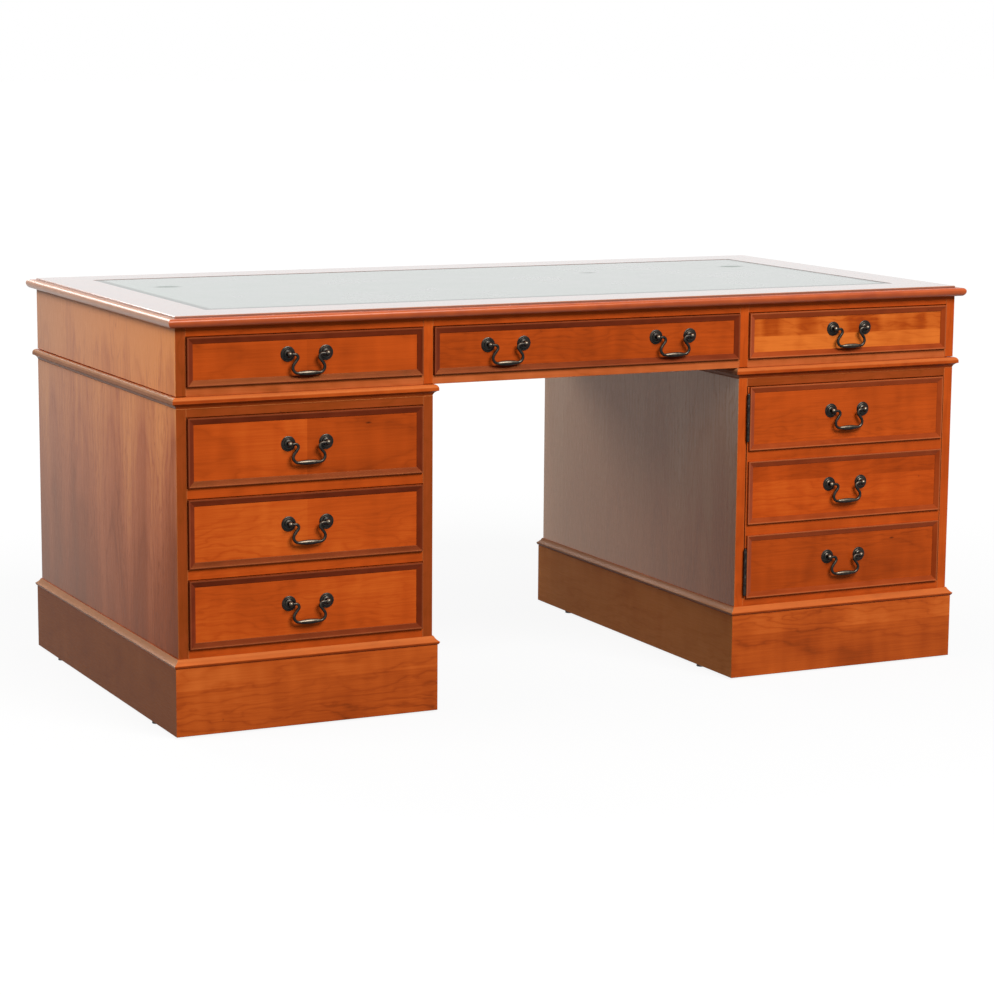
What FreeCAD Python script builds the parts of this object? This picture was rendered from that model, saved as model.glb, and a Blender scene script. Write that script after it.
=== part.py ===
import FreeCAD
import Part
import Sketcher

import math
import os
import re
from enum import IntEnum

# Partners desk: two pedestals under a frieze of drawers and a leather-lined top.
#
# The desk is the same from the front and from the rear, turned half round. On each side the
# pedestal on the left holds three drawers, the pedestal on the right a cupboard whose door
# looks like three more, and the frieze above them three shallow drawers.
# The origin is on the floor under the middle of the desk: +X to the right as seen from the
# front, +Y towards the rear, +Z up. Lengths are in millimetres.

# Driving sizes: name, value, meaning
SIZES = (
    ("carcase_length", 1700, "over the outer sides of both pedestals"),
    ("carcase_depth", 856, "front faces to rear faces"),
    ("pedestal_width", 514, "one pedestal over its two sides"),
    ("side_thickness", 20, "pedestal sides, frieze ends and frieze dividers"),
    ("glide_height", 4, "floor glides below the plinth"),
    ("glide_radius", 9.5, "floor glides"),
    ("glide_inset", 131, "glide centres behind the pedestal faces"),
    ("plinth_height", 129, "plinth boards"),
    ("plinth_thickness", 20, "plinth boards"),
    ("plinth_overhang", 8, "plinth faces beyond the pedestal faces"),
    ("cap_height", 16.5, "moulding on the plinth"),
    ("cap_overhang", 3.4, "tip of that moulding beyond the plinth face"),
    ("cap_tip", 5.8, "height of that tip"),
    ("cap_flat", 2, "flat top of that moulding"),
    ("cap_cove_radius", 24, "hollow face of that moulding"),
    ("cap_nose_radius", 7, "rounded underside of that moulding"),
    ("bottom_rail", 32, "height of the rails under the lowest drawer and the door"),
    ("bottom_rail_thickness", 20, "front to back"),
    ("bottom_board", 12, "pedestal bottoms"),
    ("drawer_opening", 131, "height of each pedestal drawer opening"),
    ("rail", 20, "height of the rails between the pedestal drawers"),
    ("rail_depth", 60, "rails, front to back"),
    ("rail_set_back", 0.6, "rail faces behind the pedestal faces"),
    ("top_rail", 16.6, "height of the rails over the top drawer and the door"),
    ("runner_width", 18, "drawer runners"),
    ("stop_width", 60, "drawer and door stops"),
    ("stop_depth", 12, "drawer and door stops, front to back"),
    ("stop_height", 5, "drawer stops"),
    ("door_stop_height", 14, "door stops"),
    ("stop_clearance", 0.3, "stops behind the closed fronts"),
    ("partition", 12, "board between the drawers and the cupboard"),
    ("back_room", 8, "free room behind a pedestal drawer"),
    ("bearer", 15, "shelf bearers, square"),
    ("shelf_thickness", 18, "cupboard shelf"),
    ("shelf_height", 208, "shelf underside over the cupboard floor"),
    ("shelf_set_back", 36, "cupboard shelf behind the closed door"),
    ("shelf_clearance", 0.5, "each end of the shelf"),
    ("pedestal_top", 21.6, "thickness of the pedestal tops"),
    ("pedestal_top_overhang", 9, "pedestal tops beyond the pedestal faces"),
    ("pedestal_top_lower_round", 8.5, "nosing of the pedestal tops, below"),
    ("pedestal_top_upper_round", 8, "nosing of the pedestal tops, above"),
    ("frieze_bottom_rail", 17, "rails under the frieze drawers"),
    ("frieze_opening", 93, "height of the frieze drawer openings"),
    ("frieze_top_rail", 17.4, "rails over the frieze drawers"),
    ("spine", 20, "board between the front and the rear frieze drawers"),
    ("top_thickness", 20.4, "desktop panel"),
    ("edging_width", 17.4, "moulding round the desktop"),
    ("edging_height", 16.4, "that moulding, lower than the panel by a step"),
    ("edging_tip", 9.9, "height of the nose of that moulding"),
    ("edging_under", 6, "how far its rounding reaches in below"),
    ("edging_over", 6.5, "how far its rounding reaches in above"),
    ("leather_border", 93, "wood of the panel round the writing surface"),
    ("leather_thickness", 1.5, "writing surface"),
    ("leather_recess", 2, "depth of its recess in the panel"),
    ("leather_gap", 0.4, "each edge of the leather in its recess"),
    ("pedestal_drawer_depth", 430, "face to back"),
    ("frieze_back_room", 18, "free room behind a frieze drawer"),
    ("drawer_gap", 1.5, "beside and above a drawer front or a door"),
    ("drawer_gap_below", 0.8, "below a drawer front or a door"),
    ("front_thickness", 20, "drawer fronts and doors"),
    ("drawer_wall", 10, "drawer sides and backs"),
    ("drawer_floor", 5, "drawer bottoms"),
    ("drawer_floor_lift", 8, "drawer bottoms over the lower edges of the sides"),
    ("drawer_headroom", 15, "opening over the drawer sides"),
    ("run_clearance", 0.4, "drawer sides over their runners"),
    ("side_clearance", 1, "drawer sides beside the carcase"),
    ("bead_width", 12, "moulding round each drawer front"),
    ("bead_lip", 2.4, "flat outer lip of that moulding"),
    ("bead_rise", 5, "that moulding at its lip"),
    ("bead_inner_rise", 0.8, "that moulding at its inner edge"),
    ("dummy_margin", 3, "door edge to the moulding of its dummy drawers"),
    ("handle_spacing", 76, "between the two posts of a handle"),
    ("handle_rise", 7, "posts over the middle of the drawer front"),
    ("handle_shift", 15, "handles of the wide drawer, outwards from the middles of its halves"),
    ("rosette_radius", 14.5, "back plate of a post"),
    ("rosette_rim", 1.5, "thickness of its outer step"),
    ("rosette_chamfer", 1.1, "slope of each of its steps"),
    ("rosette_step_radius", 11.2, "its second step"),
    ("rosette_step", 1.4, "thickness of its second step"),
    ("rosette_boss_radius", 6.8, "its third step"),
    ("rosette_boss", 1.3, "thickness of its third step"),
    ("post_neck_radius", 3.4, "post between rosette and head"),
    ("post_head_radius", 5.6, "round head of the post"),
    ("post_head_room", 0.2, "between that head and the rosette"),
    ("shank_radius", 2.5, "threaded shank of the post"),
    ("shank_clearance", 0.15, "shank in the holes of rosette, front and nut"),
    ("shank_end", 2, "shank beyond its nut"),
    ("nut_radius", 4.6, "over the corners of the nut"),
    ("nut_height", 4, "nut"),
    ("bail_radius", 2.9, "wire of the bail"),
    ("bail_clearance", 0.06, "bail end in the post, on the radius"),
    ("bail_end", 2.5, "bail ends past the middle of the posts"),
    ("bail_neck", 10.5, "straight stretch of the bail from the middle of a post"),
    ("bail_shoulder_radius", 6, "upper bend of the bail"),
    ("bail_corner_radius", 10.5, "lower bend of the bail"),
    ("bail_splay", 52, "slope of the bail between its bends, in degrees"),
    ("bail_drop", 35.4, "grip below the bail axis"),
    ("grip_radius", 5, "middle of the grip"),
    ("grip_end_radius", 2.4, "ends of the swelling, inside the wire"),
    ("grip_length", 42, "swollen stretch of the grip"),
    ("hinge_gap", 2.4, "door edge to pedestal side at the hinges"),
    ("hinge_length", 90, "barrel"),
    ("hinge_radius", 3.5, "barrel"),
    ("hinge_pin_radius", 1.8, "pin"),
    ("hinge_clearance", 0.06, "pin in the door knuckles, on the radius"),
    ("hinge_face_gap", 0.5, "barrel in front of the door face"),
    ("hinge_leaf", 0.9, "thickness of the leaves"),
    ("hinge_leaf_depth", 18, "leaves, front to back"),
    ("hinge_knuckle_gap", 0.3, "between knuckles"),
    ("hinge_finial_radius", 2.9, "beads on the pin ends"),
    ("hinge_low", 10, "lower hinge over the foot of the opening"),
    ("hinge_high", 18, "upper hinge under the head of the opening"),
)
VALUES = {name: value for name, value, _ in SIZES}

# Drawers of a pedestal, and the dummy drawers of a door, from the floor up
LEVELS = ("bottom", "middle", "top")

# Sizes and levels that follow from the driving sizes
DERIVED = {
    "carcase_foot": "glide_height + plinth_height",
    "floor_level": "carcase_foot + bottom_rail",
    "drawer_pitch": "drawer_opening + rail",
    "door_opening": f"{len(LEVELS)} * drawer_pitch - rail",
    "carcase_height": "bottom_rail + door_opening + top_rail",
    "carcase_head": "carcase_foot + carcase_height",
    "frieze_foot": "carcase_head + pedestal_top",
    "frieze_floor": "frieze_foot + frieze_bottom_rail",
    "frieze_height": "frieze_bottom_rail + frieze_opening + frieze_top_rail",
    "frieze_head": "frieze_foot + frieze_height",
    "half_depth": "carcase_depth / 2",
    "pedestal_outer": "carcase_length / 2",
    "pedestal_inner": "carcase_length / 2 - pedestal_width",
    "pedestal_middle": "carcase_length / 2 - pedestal_width / 2",
    "opening_width": "pedestal_width - 2 * side_thickness",
    "kneehole_width": "2 * pedestal_inner",
    "rail_back": "rail_set_back + rail_depth",
    "partition_front": "pedestal_drawer_depth + back_room - half_depth",
    "partition_rear": "partition_front + partition",
    "shelf_depth": "half_depth - front_thickness - shelf_set_back - partition_rear",
    "frieze_drawer_depth": "half_depth - spine / 2 - frieze_back_room",
    "leather_length": "carcase_length - 2 * leather_border",
    "leather_width": "carcase_depth - 2 * leather_border",
    "handle_offset": "kneehole_width / 4 + handle_shift",
    "hinge_stand_off": "hinge_radius + hinge_face_gap",
    "pedestal_front_height": "drawer_opening - drawer_gap - drawer_gap_below",
    "rosette_thickness": "rosette_rim + rosette_step + rosette_boss",
    "pivot_projection": "rosette_thickness + post_head_room + post_head_radius",
    "shank_hole": "shank_radius + shank_clearance",
    "cap_width": "plinth_overhang + cap_overhang",
    "knuckle": "(hinge_length - 4 * hinge_knuckle_gap) / 5",
}

X_AXIS = FreeCAD.Vector(1, 0, 0)
Y_AXIS = FreeCAD.Vector(0, 1, 0)
Z_AXIS = FreeCAD.Vector(0, 0, 1)
NO_TURN = FreeCAD.Rotation()
HALF_TURN = FreeCAD.Rotation(Z_AXIS, 180)
UPRIGHT = FreeCAD.Rotation(X_AXIS, 90)
HANGING = FreeCAD.Rotation(Y_AXIS, 180)
ALONG_X = FreeCAD.Rotation(Y_AXIS, 90)
ACROSS_STRIP = FreeCAD.Rotation(Y_AXIS, Z_AXIS, X_AXIS, "XYZ")
ORIGIN = ("0", "0", "0")
SAME_LEVEL = 1e-6


class Ref(IntEnum):
    """The sketcher's own numbers for its axes, and for the points of a line, arc or circle."""

    V_AXIS = -2
    H_AXIS = -1
    START = 1
    END = 2
    CENTRE = 3


ORIGIN_POINT = (Ref.H_AXIS, Ref.START)

doc = FreeCAD.newDocument("partners_desk")
nodes = []


# Sizes and formulas

def make_sheet():
    """Write every driving size into the sheet, with its meaning beside it."""
    sheet = doc.addObject("Spreadsheet::Sheet", "Sizes")
    for row, (name, value, meaning) in enumerate(SIZES, start=1):
        sheet.set(f"A{row}", meaning)
        sheet.set(f"B{row}", str(value))
        sheet.setAlias(f"B{row}", name)
    doc.recompute()


def expand(text, read):
    """Return a formula with derived names worked out and each size written by read(name)."""
    def swap(found):
        word = found.group(0)
        if word in DERIVED:
            return "(" + expand(DERIVED[word], read) + ")"
        if word in VALUES:
            return read(word)
        return word
    return re.sub(r"[a-z][a-z0-9_]*", swap, text)


def formula(text):
    """Return a formula that reads its sizes from the sheet."""
    return expand(text, lambda name: "Sizes." + name)


def number(text):
    """Return a formula's value, for the first position of sketch geometry."""
    return FreeCAD.Units.Quantity(expand(text, lambda name: str(VALUES[name]))).Value


# Document objects

def bind(item, formulas):
    """Tie properties of an object to formulas."""
    for path, text in formulas.items():
        item.setExpression(path, formula(text))


def place(item, at=ORIGIN, rotation=NO_TURN):
    """Turn an object and tie its position to formulas."""
    item.Placement = FreeCAD.Placement(FreeCAD.Vector(), rotation)
    for letter, text in zip("xyz", at):
        item.setExpression(".Placement.Base." + letter, formula(text))


def box(name, low, size):
    """Add a box from its low corner and its size along X, Y and Z."""
    item = doc.addObject("Part::Box", name)
    bind(item, dict(zip(("Length", "Width", "Height"), size)))
    place(item, low)
    return item


def cylinder(name, radius, height, at=ORIGIN, rotation=NO_TURN):
    """Add a cylinder along its own Z."""
    item = doc.addObject("Part::Cylinder", name)
    bind(item, {"Radius": radius, "Height": height})
    place(item, at, rotation)
    return item


def cone(name, wide, narrow, height, at, rotation):
    """Add a cone that narrows along its own Z."""
    item = doc.addObject("Part::Cone", name)
    bind(item, {"Radius1": wide, "Radius2": narrow, "Height": height})
    place(item, at, rotation)
    return item


def sphere(name, radius, at):
    """Add a ball."""
    item = doc.addObject("Part::Sphere", name)
    bind(item, {"Radius": radius})
    place(item, at)
    return item


def fuse(name, pieces):
    """Join overlapping pieces into one solid."""
    item = doc.addObject("Part::MultiFuse", name)
    item.Shapes = pieces
    item.Refine = True
    return item


def cut(name, base, tools):
    """Take tools away from a base."""
    item = doc.addObject("Part::Cut", name)
    item.Base = base
    item.Tool = tools[0] if len(tools) == 1 else group(name + "_tools", tools)
    return item


def group(name, pieces, at=ORIGIN, rotation=NO_TURN):
    """Set pieces together at a place, each still a solid of its own."""
    item = doc.addObject("Part::Compound", name)
    item.Links = pieces
    place(item, at, rotation)
    return item


def node(name, pieces, at=ORIGIN, rotation=NO_TURN):
    """Add a sub-part of the desk under the name of its file."""
    item = group(name, pieces, at, rotation)
    item.Label = name
    nodes.append(item)
    return item


def both_sides(name, pieces, at, rotation=NO_TURN):
    """Add a sub-part at the front of the desk, and its twin at the rear."""
    front = node("front_" + name, pieces, at, rotation)
    node("rear_" + name, [front], rotation=HALF_TURN)


def pair(name, pieces):
    """Add a sub-part that holds the same pieces at both pedestals."""
    node(name, pieces + [group(name + "_twin", pieces, rotation=HALF_TURN)])


# Sketches

def plane_of(body, role):
    """Return one of a body's own origin planes."""
    return next(item for item in body.Origin.OriginFeatures if item.Role == role)


def sketch_in(body, name, role):
    """Add a sketch to a body on one of its origin planes."""
    sketch = body.newObject("Sketcher::SketchObject", name)
    sketch.AttachmentSupport = (plane_of(body, role), [""])
    sketch.MapMode = "FlatFace"
    return sketch


def set_point(sketch, side, end, across, up):
    """Hold the end of a sketch line at a place given by two formulas."""
    for kind, text, axis in (("DistanceX", across, Ref.V_AXIS), ("DistanceY", up, Ref.H_AXIS)):
        if text == "0":
            sketch.addConstraint(Sketcher.Constraint("PointOnObject", side, end, axis))
        else:
            datum = Sketcher.Constraint(kind, *ORIGIN_POINT, side, end, number(text))
            sketch.setExpression(f"Constraints[{sketch.addConstraint(datum)}]", formula(text))


def set_radius(sketch, side, text):
    """Hold the radius of a sketch arc or circle."""
    datum = Sketcher.Constraint("Radius", side, number(text))
    sketch.setExpression(f"Constraints[{sketch.addConstraint(datum)}]", formula(text))


def arc_between(start, end, radius, bulge):
    """Return an arc under a half circle from start to end.

    Args:
        start, end: the end points.
        radius: the arc's radius.
        bulge: 1 where the arc bows to the right of the way from start to end, -1 to the left.
    """
    chord = end - start
    right = FreeCAD.Vector(chord.y, -chord.x, 0).normalize()
    rise = radius - (radius ** 2 - (chord.Length / 2) ** 2) ** 0.5
    return Part.Arc(start, (start + end) / 2 + right * rise * bulge, end)


def outline(sketch, corners, arcs):
    """Draw a closed outline, held in place by formulas.

    Args:
        corners: the corners in order, each a pair of formulas, across and up.
        arcs: for each side that is an arc, by the number of its first corner, its radius as a
            formula and its bulge as in arc_between.
    """
    points = [FreeCAD.Vector(number(across), number(up), 0) for across, up in corners]
    for side, start in enumerate(points):
        end = points[(side + 1) % len(points)]
        if side in arcs:
            radius, bulge = arcs[side]
            sketch.addGeometry(arc_between(start, end, number(radius), bulge))
        else:
            sketch.addGeometry(Part.LineSegment(start, end))
    firsts = [first_end(sketch, side, point) for side, point in enumerate(points)]
    for side, (across, up) in enumerate(corners):
        previous = (side - 1) % len(points)
        last = Ref.END if firsts[previous] == Ref.START else Ref.START
        sketch.addConstraint(Sketcher.Constraint("Coincident", previous, last, side, firsts[side]))
        set_point(sketch, side, firsts[side], across, up)
    for side, (radius, _) in arcs.items():
        set_radius(sketch, side, radius)


def first_end(sketch, side, point):
    """Return which end of a sketch line or arc lies at a point."""
    to_start = sketch.getPoint(side, Ref.START).distanceToPoint(point)
    to_end = sketch.getPoint(side, Ref.END).distanceToPoint(point)
    return Ref.START if to_start < to_end else Ref.END


# Mitred strips lie along X: their outer edge at Y 0, their inner edge at +Y, their back at Z 0

def mitred_strip(name, length, width, height):
    """Add a plain strip whose ends are mitred."""
    return sloped_strip(name, length, ("0", width), (height, height))


def sloped_strip(name, length, edges, rises):
    """Add a mitred strip between two lines parallel to its outer edge.

    Args:
        length: the length of the outer edge of the whole moulding.
        edges: how far in from that edge the strip begins and ends.
        rises: its height along each of those lines.
    """
    item = doc.addObject("Part::Wedge", name)
    outer, inner = (f"({length}) / 2 - {edge}" for edge in edges)
    bind(item, {
        "Ymin": edges[0], "Ymax": edges[1],
        "Xmin": f"-({outer})", "Xmax": outer,
        "X2min": f"-({inner})", "X2max": inner,
        "Zmin": "0", "Zmax": rises[0],
        "Z2min": "0", "Z2max": rises[1],
    })
    return item


def bead_strip(name, length):
    """Add a strip of drawer moulding: a flat lip, then a slope down to the panel."""
    lip = sloped_strip(name + "_lip", length, ("0", "bead_lip"), ("bead_rise", "bead_rise"))
    slope = sloped_strip(name + "_slope", length, ("bead_lip", "bead_width"),
                         ("bead_rise", "bead_inner_rise"))
    return fuse(name, [lip, slope])


def profiled_strip(name, length, width, height, corners, arcs):
    """Add a mitred strip with a moulded section."""
    section = doc.addObject("Sketcher::SketchObject", name + "_section")
    outline(section, corners, arcs)
    place(section, (f"-({length}) / 2", "0", "0"), ACROSS_STRIP)
    run = doc.addObject("Part::Extrusion", name + "_run")
    run.Base = section
    run.DirMode = "Normal"
    run.Solid = True
    bind(run, {"LengthFwd": length})
    item = doc.addObject("Part::Common", name)
    item.Base = run
    item.Tool = mitred_strip(name + "_mitre", length, width, height)
    return item


def edging_strip(name, length):
    """Add a strip of the desktop's edge moulding: a thumb nosing below a step."""
    corners = (
        ("edging_width", "0"),
        ("edging_width", "edging_height"),
        ("edging_over", "edging_height"),
        ("0", "edging_tip"),
        ("edging_under", "0"),
    )
    over = "edging_height - edging_tip"
    arcs = {
        2: (f"(edging_over ^ 2 + ({over}) ^ 2) / (2 * edging_over)", 1),
        3: ("(edging_under ^ 2 + edging_tip ^ 2) / (2 * edging_under)", 1),
    }
    return profiled_strip(name, length, "edging_width", "edging_height", corners, arcs)


def cap_strip(name, length):
    """Add a strip of the plinth's cap moulding: a hollow slope over a rounded nose."""
    corners = (
        ("cap_width", "0"),
        ("cap_width", "cap_height"),
        ("cap_width - cap_flat", "cap_height"),
        ("0", "cap_tip"),
        ("cap_overhang", "0"),
    )
    arcs = {2: ("cap_cove_radius", -1), 3: ("cap_nose_radius", 1)}
    return profiled_strip(name, length, "cap_width", "cap_height", corners, arcs)


def plinth_strip(name, length):
    """Add a plinth board, mitred at its ends."""
    return mitred_strip(name, length, "plinth_thickness", "plinth_height")


def mitred_frame(name, make_strip, length, width):
    """Return the four strips of a frame, length along X, width along Y, round the origin."""
    long_strip = make_strip(name + "_long", length)
    short_strip = make_strip(name + "_short", width)
    places = (
        ("near", long_strip, ("0", f"-({width}) / 2", "0"), 0),
        ("right", short_strip, (f"({length}) / 2", "0", "0"), 90),
        ("far", long_strip, ("0", f"({width}) / 2", "0"), 180),
        ("left", short_strip, (f"-({length}) / 2", "0", "0"), 270),
    )
    return [group(f"{name}_{side}", [strip], at, FreeCAD.Rotation(Z_AXIS, turn))
            for side, strip, at, turn in places]


# Desktop

def build_desktop():
    """Add the panel, its edge moulding and the leather let into it."""
    board = box("desktop_board", ("-carcase_length / 2", "-half_depth", "frieze_head"),
                ("carcase_length", "carcase_depth", "top_thickness"))
    recess = box("leather_recess_cutter",
                 ("-leather_length / 2 - leather_gap", "-leather_width / 2 - leather_gap",
                  "frieze_head + top_thickness - leather_recess"),
                 ("leather_length + 2 * leather_gap", "leather_width + 2 * leather_gap",
                  "2 * leather_recess"))
    node("desktop_panel", [cut("desktop_board_recessed", board, [recess])])
    leather = box("leather", ("-leather_length / 2", "-leather_width / 2",
                              "frieze_head + top_thickness - leather_recess"),
                  ("leather_length", "leather_width", "leather_thickness"))
    node("leather_writing_surface", [leather])
    strips = mitred_frame("edging", edging_strip, "carcase_length + 2 * edging_width",
                          "carcase_depth + 2 * edging_width")
    node("desktop_edge_moulding", strips, ("0", "0", "frieze_head"))


# Frieze

def frieze_bays():
    """Return each bay of the frieze: its name, its middle and the width of its opening."""
    return (
        ("left", "-pedestal_middle", "opening_width"),
        ("centre", "0", "kneehole_width"),
        ("right", "pedestal_middle", "opening_width"),
    )


def bay_pieces(bay, middle, width):
    """Return the rails, runners and drawer stop at the front of a bay."""
    name = f"frieze_{bay}_"
    left = f"{middle} - ({width}) / 2"
    face = "rail_set_back - half_depth"
    runner = ("runner_width", "half_depth - rail_back - spine / 2", "frieze_bottom_rail")
    behind = "rail_back - half_depth"
    return [
        box(name + "bottom_rail", (left, face, "frieze_foot"),
            (width, "rail_depth", "frieze_bottom_rail")),
        box(name + "top_rail", (left, face, "frieze_floor + frieze_opening"),
            (width, "rail_depth", "frieze_top_rail")),
        box(name + "left_runner", (left, behind, "frieze_foot"), runner),
        box(name + "right_runner", (f"{left} + {width} - runner_width", behind, "frieze_foot"),
            runner),
        box(name + "stop", (f"{middle} - stop_width / 2",
                            "front_thickness + stop_clearance - half_depth", "frieze_floor"),
            ("stop_width", "stop_depth", "stop_height")),
    ]


def build_frieze():
    """Add the carcase of the frieze: ends, dividers, spine, rails and runners."""
    board = ("side_thickness", "carcase_depth", "frieze_height")
    uprights = {
        "left_end": "-pedestal_outer",
        "left_divider": "-pedestal_inner - side_thickness",
        "right_divider": "pedestal_inner",
        "right_end": "pedestal_outer - side_thickness",
    }
    pieces = [box("frieze_" + name, (left, "-half_depth", "frieze_foot"), board)
              for name, left in uprights.items()]
    fronts = []
    for bay, middle, width in frieze_bays():
        pieces.append(box(f"frieze_{bay}_spine",
                          (f"{middle} - ({width}) / 2", "-spine / 2", "frieze_foot"),
                          (width, "spine", "frieze_height")))
        fronts += bay_pieces(bay, middle, width)
    rears = group("frieze_rear_pieces", fronts, rotation=HALF_TURN)
    node("frieze_carcase", pieces + fronts + [rears])


# Pedestals: the left one is drawn in place, and the right one is its twin turned half round

def pedestal_rails(left):
    """Return the rails of the left pedestal, with the stops and runners of its drawers."""
    face = "rail_set_back - half_depth"
    rear = "half_depth - rail_set_back"
    head = "floor_level + door_opening"
    bottom = ("opening_width", "bottom_rail_thickness", "bottom_rail")
    top = ("opening_width", "rail_depth", "top_rail")
    pieces = [
        box("front_bottom_rail", (left, face, "carcase_foot"), bottom),
        box("rear_bottom_rail", (left, f"{rear} - bottom_rail_thickness", "carcase_foot"), bottom),
        box("front_top_rail", (left, face, head), top),
        box("rear_top_rail", (left, f"{rear} - rail_depth", head), top),
    ]
    runner = ("runner_width", "partition_front + half_depth - rail_back", "rail")
    behind = "rail_back - half_depth"
    for level in range(1, len(LEVELS)):
        under = f"floor_level + {level} * drawer_pitch - rail"
        pieces += [
            box(f"rail_{level}", (left, face, under), ("opening_width", "rail_depth", "rail")),
            box(f"left_runner_{level}", (left, behind, under), runner),
            box(f"right_runner_{level}", (f"{left} + opening_width - runner_width", behind, under),
                runner),
        ]
    for level in range(len(LEVELS)):
        pieces.append(box(f"drawer_stop_{level}",
                          ("-pedestal_middle - stop_width / 2",
                           "front_thickness + stop_clearance - half_depth",
                           f"floor_level + {level} * drawer_pitch"),
                          ("stop_width", "stop_depth", "stop_height")))
    return pieces


def cupboard_pieces(left):
    """Return what the left pedestal's cupboard holds, apart from its shelf and door."""
    bearer = ("bearer", "shelf_depth", "bearer")
    under = "floor_level + shelf_height - bearer"
    return [
        box("left_bearer", (left, "partition_rear", under), bearer),
        box("right_bearer", (f"{left} + opening_width - bearer", "partition_rear", under), bearer),
        box("door_stop", (left, "half_depth - front_thickness - stop_clearance - stop_depth",
                          "floor_level + door_opening - door_stop_height"),
            ("stop_width", "stop_depth", "door_stop_height")),
    ]


def build_pedestals():
    """Add both pedestal carcases, their shelves, tops, plinths, mouldings and glides."""
    left = "side_thickness - pedestal_outer"
    side = ("side_thickness", "carcase_depth", "carcase_height")
    inside = "rail_set_back + bottom_rail_thickness"
    pieces = [
        box("outer_side", ("-pedestal_outer", "-half_depth", "carcase_foot"), side),
        box("inner_side", ("-pedestal_inner - side_thickness", "-half_depth", "carcase_foot"), side),
        box("bottom", (left, f"{inside} - half_depth", "floor_level - bottom_board"),
            ("opening_width", f"carcase_depth - 2 * ({inside})", "bottom_board")),
        box("partition_board", (left, "partition_front", "floor_level"),
            ("opening_width", "partition", "door_opening + top_rail")),
    ]
    pieces += pedestal_rails(left)
    pieces += cupboard_pieces(left)
    carcase = node("left_pedestal_carcase", pieces)
    node("right_pedestal_carcase", [carcase], rotation=HALF_TURN)
    shelf = box("shelf", (f"{left} + shelf_clearance", "partition_rear", "floor_level + shelf_height"),
                ("opening_width - 2 * shelf_clearance", "shelf_depth", "shelf_thickness"))
    pair("cupboard_shelves", [shelf])
    pair("pedestal_tops", [group("pedestal_top_set", [pedestal_top_board()],
                                 ("-pedestal_middle", "0", "carcase_head"))])
    plinth = mitred_frame("plinth", plinth_strip, "pedestal_width + 2 * plinth_overhang",
                          "carcase_depth + 2 * plinth_overhang")
    pair("plinths", [group("plinth_set", plinth, ("-pedestal_middle", "0", "glide_height"))])
    cap = mitred_frame("cap", cap_strip, "pedestal_width + 2 * cap_width",
                       "carcase_depth + 2 * cap_width")
    pair("plinth_mouldings", [group("cap_set", cap, ("-pedestal_middle", "0", "carcase_foot"))])
    pair("floor_glides", glides())


def glides():
    """Return the four glides under the side boards of the left plinth."""
    middle = "plinth_overhang - plinth_thickness / 2"
    lines = {"outer": f"-pedestal_outer - ({middle})", "inner": f"-pedestal_inner + {middle}"}
    ends = {"front": "glide_inset - half_depth", "rear": "half_depth - glide_inset"}
    return [cylinder(f"{line}_{end}_glide", "glide_radius", "glide_height", (across, along, "0"))
            for line, across in lines.items() for end, along in ends.items()]


def edges_at(shape, height):
    """Return the names of a shape's level edges at a height."""
    return [f"Edge{index}" for index, edge in enumerate(shape.Edges, start=1)
            if all(abs(vertex.Z - height) < SAME_LEVEL for vertex in edge.Vertexes)]


def pedestal_top_board():
    """Return a pedestal top, its edges rounded to a nosing."""
    body = doc.addObject("PartDesign::Body", "pedestal_top_board")
    sketch = sketch_in(body, "pedestal_top_plan", "XY_Plane")
    length = "pedestal_width + 2 * pedestal_top_overhang"
    width = "carcase_depth + 2 * pedestal_top_overhang"
    half_x = f"({length}) / 2"
    half_y = f"({width}) / 2"
    corners = [(x_sign + half_x, y_sign + half_y)
               for x_sign, y_sign in (("-", "-"), ("", "-"), ("", ""), ("-", ""))]
    outline(sketch, corners, {})
    pad = body.newObject("PartDesign::Pad", "pedestal_top_pad")
    pad.Profile = sketch
    bind(pad, {"Length": "pedestal_top"})
    doc.recompute()
    below = body.newObject("PartDesign::Fillet", "pedestal_top_lower_nosing")
    below.Base = (pad, edges_at(pad.Shape, 0))
    bind(below, {"Radius": "pedestal_top_lower_round"})
    doc.recompute()
    above = body.newObject("PartDesign::Fillet", "pedestal_top_upper_nosing")
    above.Base = (below, edges_at(below.Shape, number("pedestal_top")))
    bind(above, {"Radius": "pedestal_top_upper_round"})
    return body


# Handles: outwards is -Y, and the origin is on the drawer face

def build_rosette():
    """Return the back plate of a post: three turned steps with a hole for the shank."""
    steps = (
        ("rim", "rosette_radius", "rosette_rim", "0"),
        ("step", "rosette_step_radius", "rosette_step", "rosette_rim"),
        ("boss", "rosette_boss_radius", "rosette_boss", "rosette_rim + rosette_step"),
    )
    turned = [cone("rosette_" + name + "_turning", radius, f"{radius} - rosette_chamfer", thickness,
                   ("0", f"-({base})", "0"), UPRIGHT)
              for name, radius, thickness, base in steps]
    hole = cylinder("rosette_hole", "shank_hole", "rosette_thickness", rotation=UPRIGHT)
    return cut("rosette", fuse("rosette_turning", turned), [hole])


def build_post():
    """Return a post: a round head bored for the bail, a neck and a shank through the front."""
    inside = "front_thickness + nut_height + shank_end"
    shank = cylinder("post_shank", "shank_radius", f"{inside} + rosette_thickness",
                     ("0", inside, "0"), UPRIGHT)
    neck = cylinder("post_neck", "post_neck_radius", "pivot_projection - rosette_thickness",
                    ("0", "-rosette_thickness", "0"), UPRIGHT)
    head = sphere("post_head", "post_head_radius", ("0", "-pivot_projection", "0"))
    bore = cylinder("post_bore", "bail_radius + bail_clearance", "2 * post_head_radius",
                    ("-post_head_radius", "-pivot_projection", "0"), ALONG_X)
    return cut("post", fuse("post_turning", [shank, neck, head]), [bore])


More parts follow.
